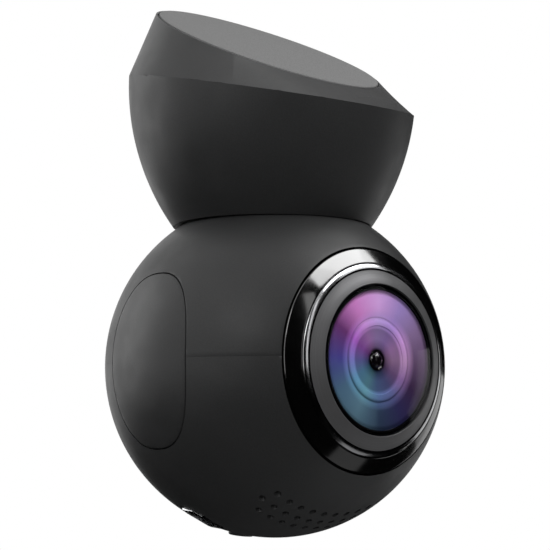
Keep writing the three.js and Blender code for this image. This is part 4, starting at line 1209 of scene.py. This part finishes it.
def softbox(name, direction, distance, width, height, radiance, along=(0, 0, 1), mirrored=True):
    """An area lamp that faces the ball, with its height as nearly as it can along a direction."""
    lamp = bpy.data.lights.new(name, "AREA")
    lamp.shape = "RECTANGLE"
    lamp.size, lamp.size_y = width, height
    lamp.energy = radiance * math.pi * width * height
    box = bpy.data.objects.new(name, lamp)
    bpy.context.scene.collection.objects.link(box)
    way = Vector(direction).normalized()
    across = Vector(along).cross(way).normalized()
    upright = way.cross(across)
    box.location = AIM + way * distance
    box.rotation_euler = Matrix((across, upright, way)).transposed().to_euler()
    box.visible_camera = False
    box.visible_glossy = mirrored
    box.visible_transmission = mirrored


softbox("overhead box", (0.36, -0.46, 0.81), 0.8, 0.26, 0.72, 5.0, along=(0.81, 0.58, -0.087))
softbox("key box", (-0.75, -0.43, 0.50), 0.9, 0.34, 0.34, 3.2)
softbox("left strip", (-0.46, 0.85, 0.25), 0.8, 0.25, 0.6, 2.3)
softbox("front fill", (-0.50, -0.80, 0.33), 0.9, 0.4, 0.4, 4.0, mirrored=False)
softbox("right strip", (0.93, 0.10, -0.22), 0.9, 0.35, 0.5, 1.4, mirrored=False)
softbox("low fill", (0.75, -0.10, -0.65), 0.7, 0.4, 0.4, 5.0, mirrored=False)
softbox("right glow", (0.95, 0.24, -0.21), 0.9, 0.26, 0.42, 0.8)
softbox("ring glow", (0.99, -0.09, -0.10), 0.9, 0.34, 0.40, 0.5)
softbox("crest glow", (-0.10, -0.91, 0.30), 0.9, 0.12, 0.7, 1.0)
softbox("low glow", (0.35, -0.46, -0.80), 0.5, 0.2, 0.3, 0.22)
print("lamps:", len(bpy.data.lights))

# %% [markdown]
# ## White surroundings
# The camera and mirrors see plain white, but as a light the white counts for little, so that the
# lamps model the shapes. Light paths tell the two uses apart.

# %% White surroundings
DIM_WHITE = 0.06
world = bpy.data.worlds.new("white surroundings")
bpy.context.scene.world = world
world.use_nodes = True
backdrop = world.node_tree.nodes["Background"]
backdrop.inputs["Color"].default_value = (1, 1, 1, 1)
rays = add_node(world, "LightPath")
seen = rays.outputs["Is Camera Ray"]
for kind in ("Is Glossy Ray", "Is Transmission Ray"):
    either = add_node(world, "Math", seen)
    either.operation = "MAXIMUM"
    world.node_tree.links.new(rays.outputs[kind], either.inputs[1])
    seen = either.outputs["Value"]
level = add_node(world, "MapRange", seen, To_Min=DIM_WHITE)
world.node_tree.links.new(level.outputs["Result"], backdrop.inputs["Strength"])
print("white counts as a light by", DIM_WHITE)

# %% [markdown]
# ## Floor and black cards
# The object hangs over a plain pale floor. Black cards round it, as in a product studio, keep the
# gloss deep. Only reflections, and light that leaves through glass, see them.

# %% Floor and black cards
def card(name, width, height, direction, distance, colour):
    """A flat sheet that faces the camera ball."""
    clear_selection()
    way = Vector(direction).normalized()
    turned = way.to_track_quat("Z", "Y").to_euler()
    place = tuple(AIM + way * distance)
    bpy.ops.mesh.primitive_plane_add(size=1, location=place, rotation=tuple(turned))
    sheet = bpy.context.object
    sheet.name = name
    sheet.scale = (width, height, 1)
    bpy.ops.object.transform_apply()
    sheet.data.materials.append(start_finish(name, colour, 0.9, Specular_IOR_Level=0.0))
    return sheet


card("pale floor", 1.8, 1.8, (0, 0, -1), 0.7, grey(0.88))
for name, direction, width, height, distance in (
    ("front card", (-0.36, -0.93, 0.35), 2.0, 1.8, 1.1),
    ("front right card", (0.743, -0.669, 0.0), 1.4, 1.4, 1.1),
    ("right card", (0.993, 0.122, 0.0), 0.95, 1.3, 1.1),
    ("high card", (0.86, 0.12, 0.50), 1.1, 0.9, 1.1),
    ("low card", (0.0, 0.0, -1.0), 6.0, 6.0, 0.6),
):
    dark = card(name, width, height, direction, distance, grey(0.0))
    dark.visible_camera = False
    dark.visible_diffuse = False
    dark.visible_shadow = False
print("last card:", dark.name)

# %% [markdown]
# ## Finish
# Standard colours keep white white.

# %% Finish
bpy.context.scene.view_settings.view_transform = "Standard"
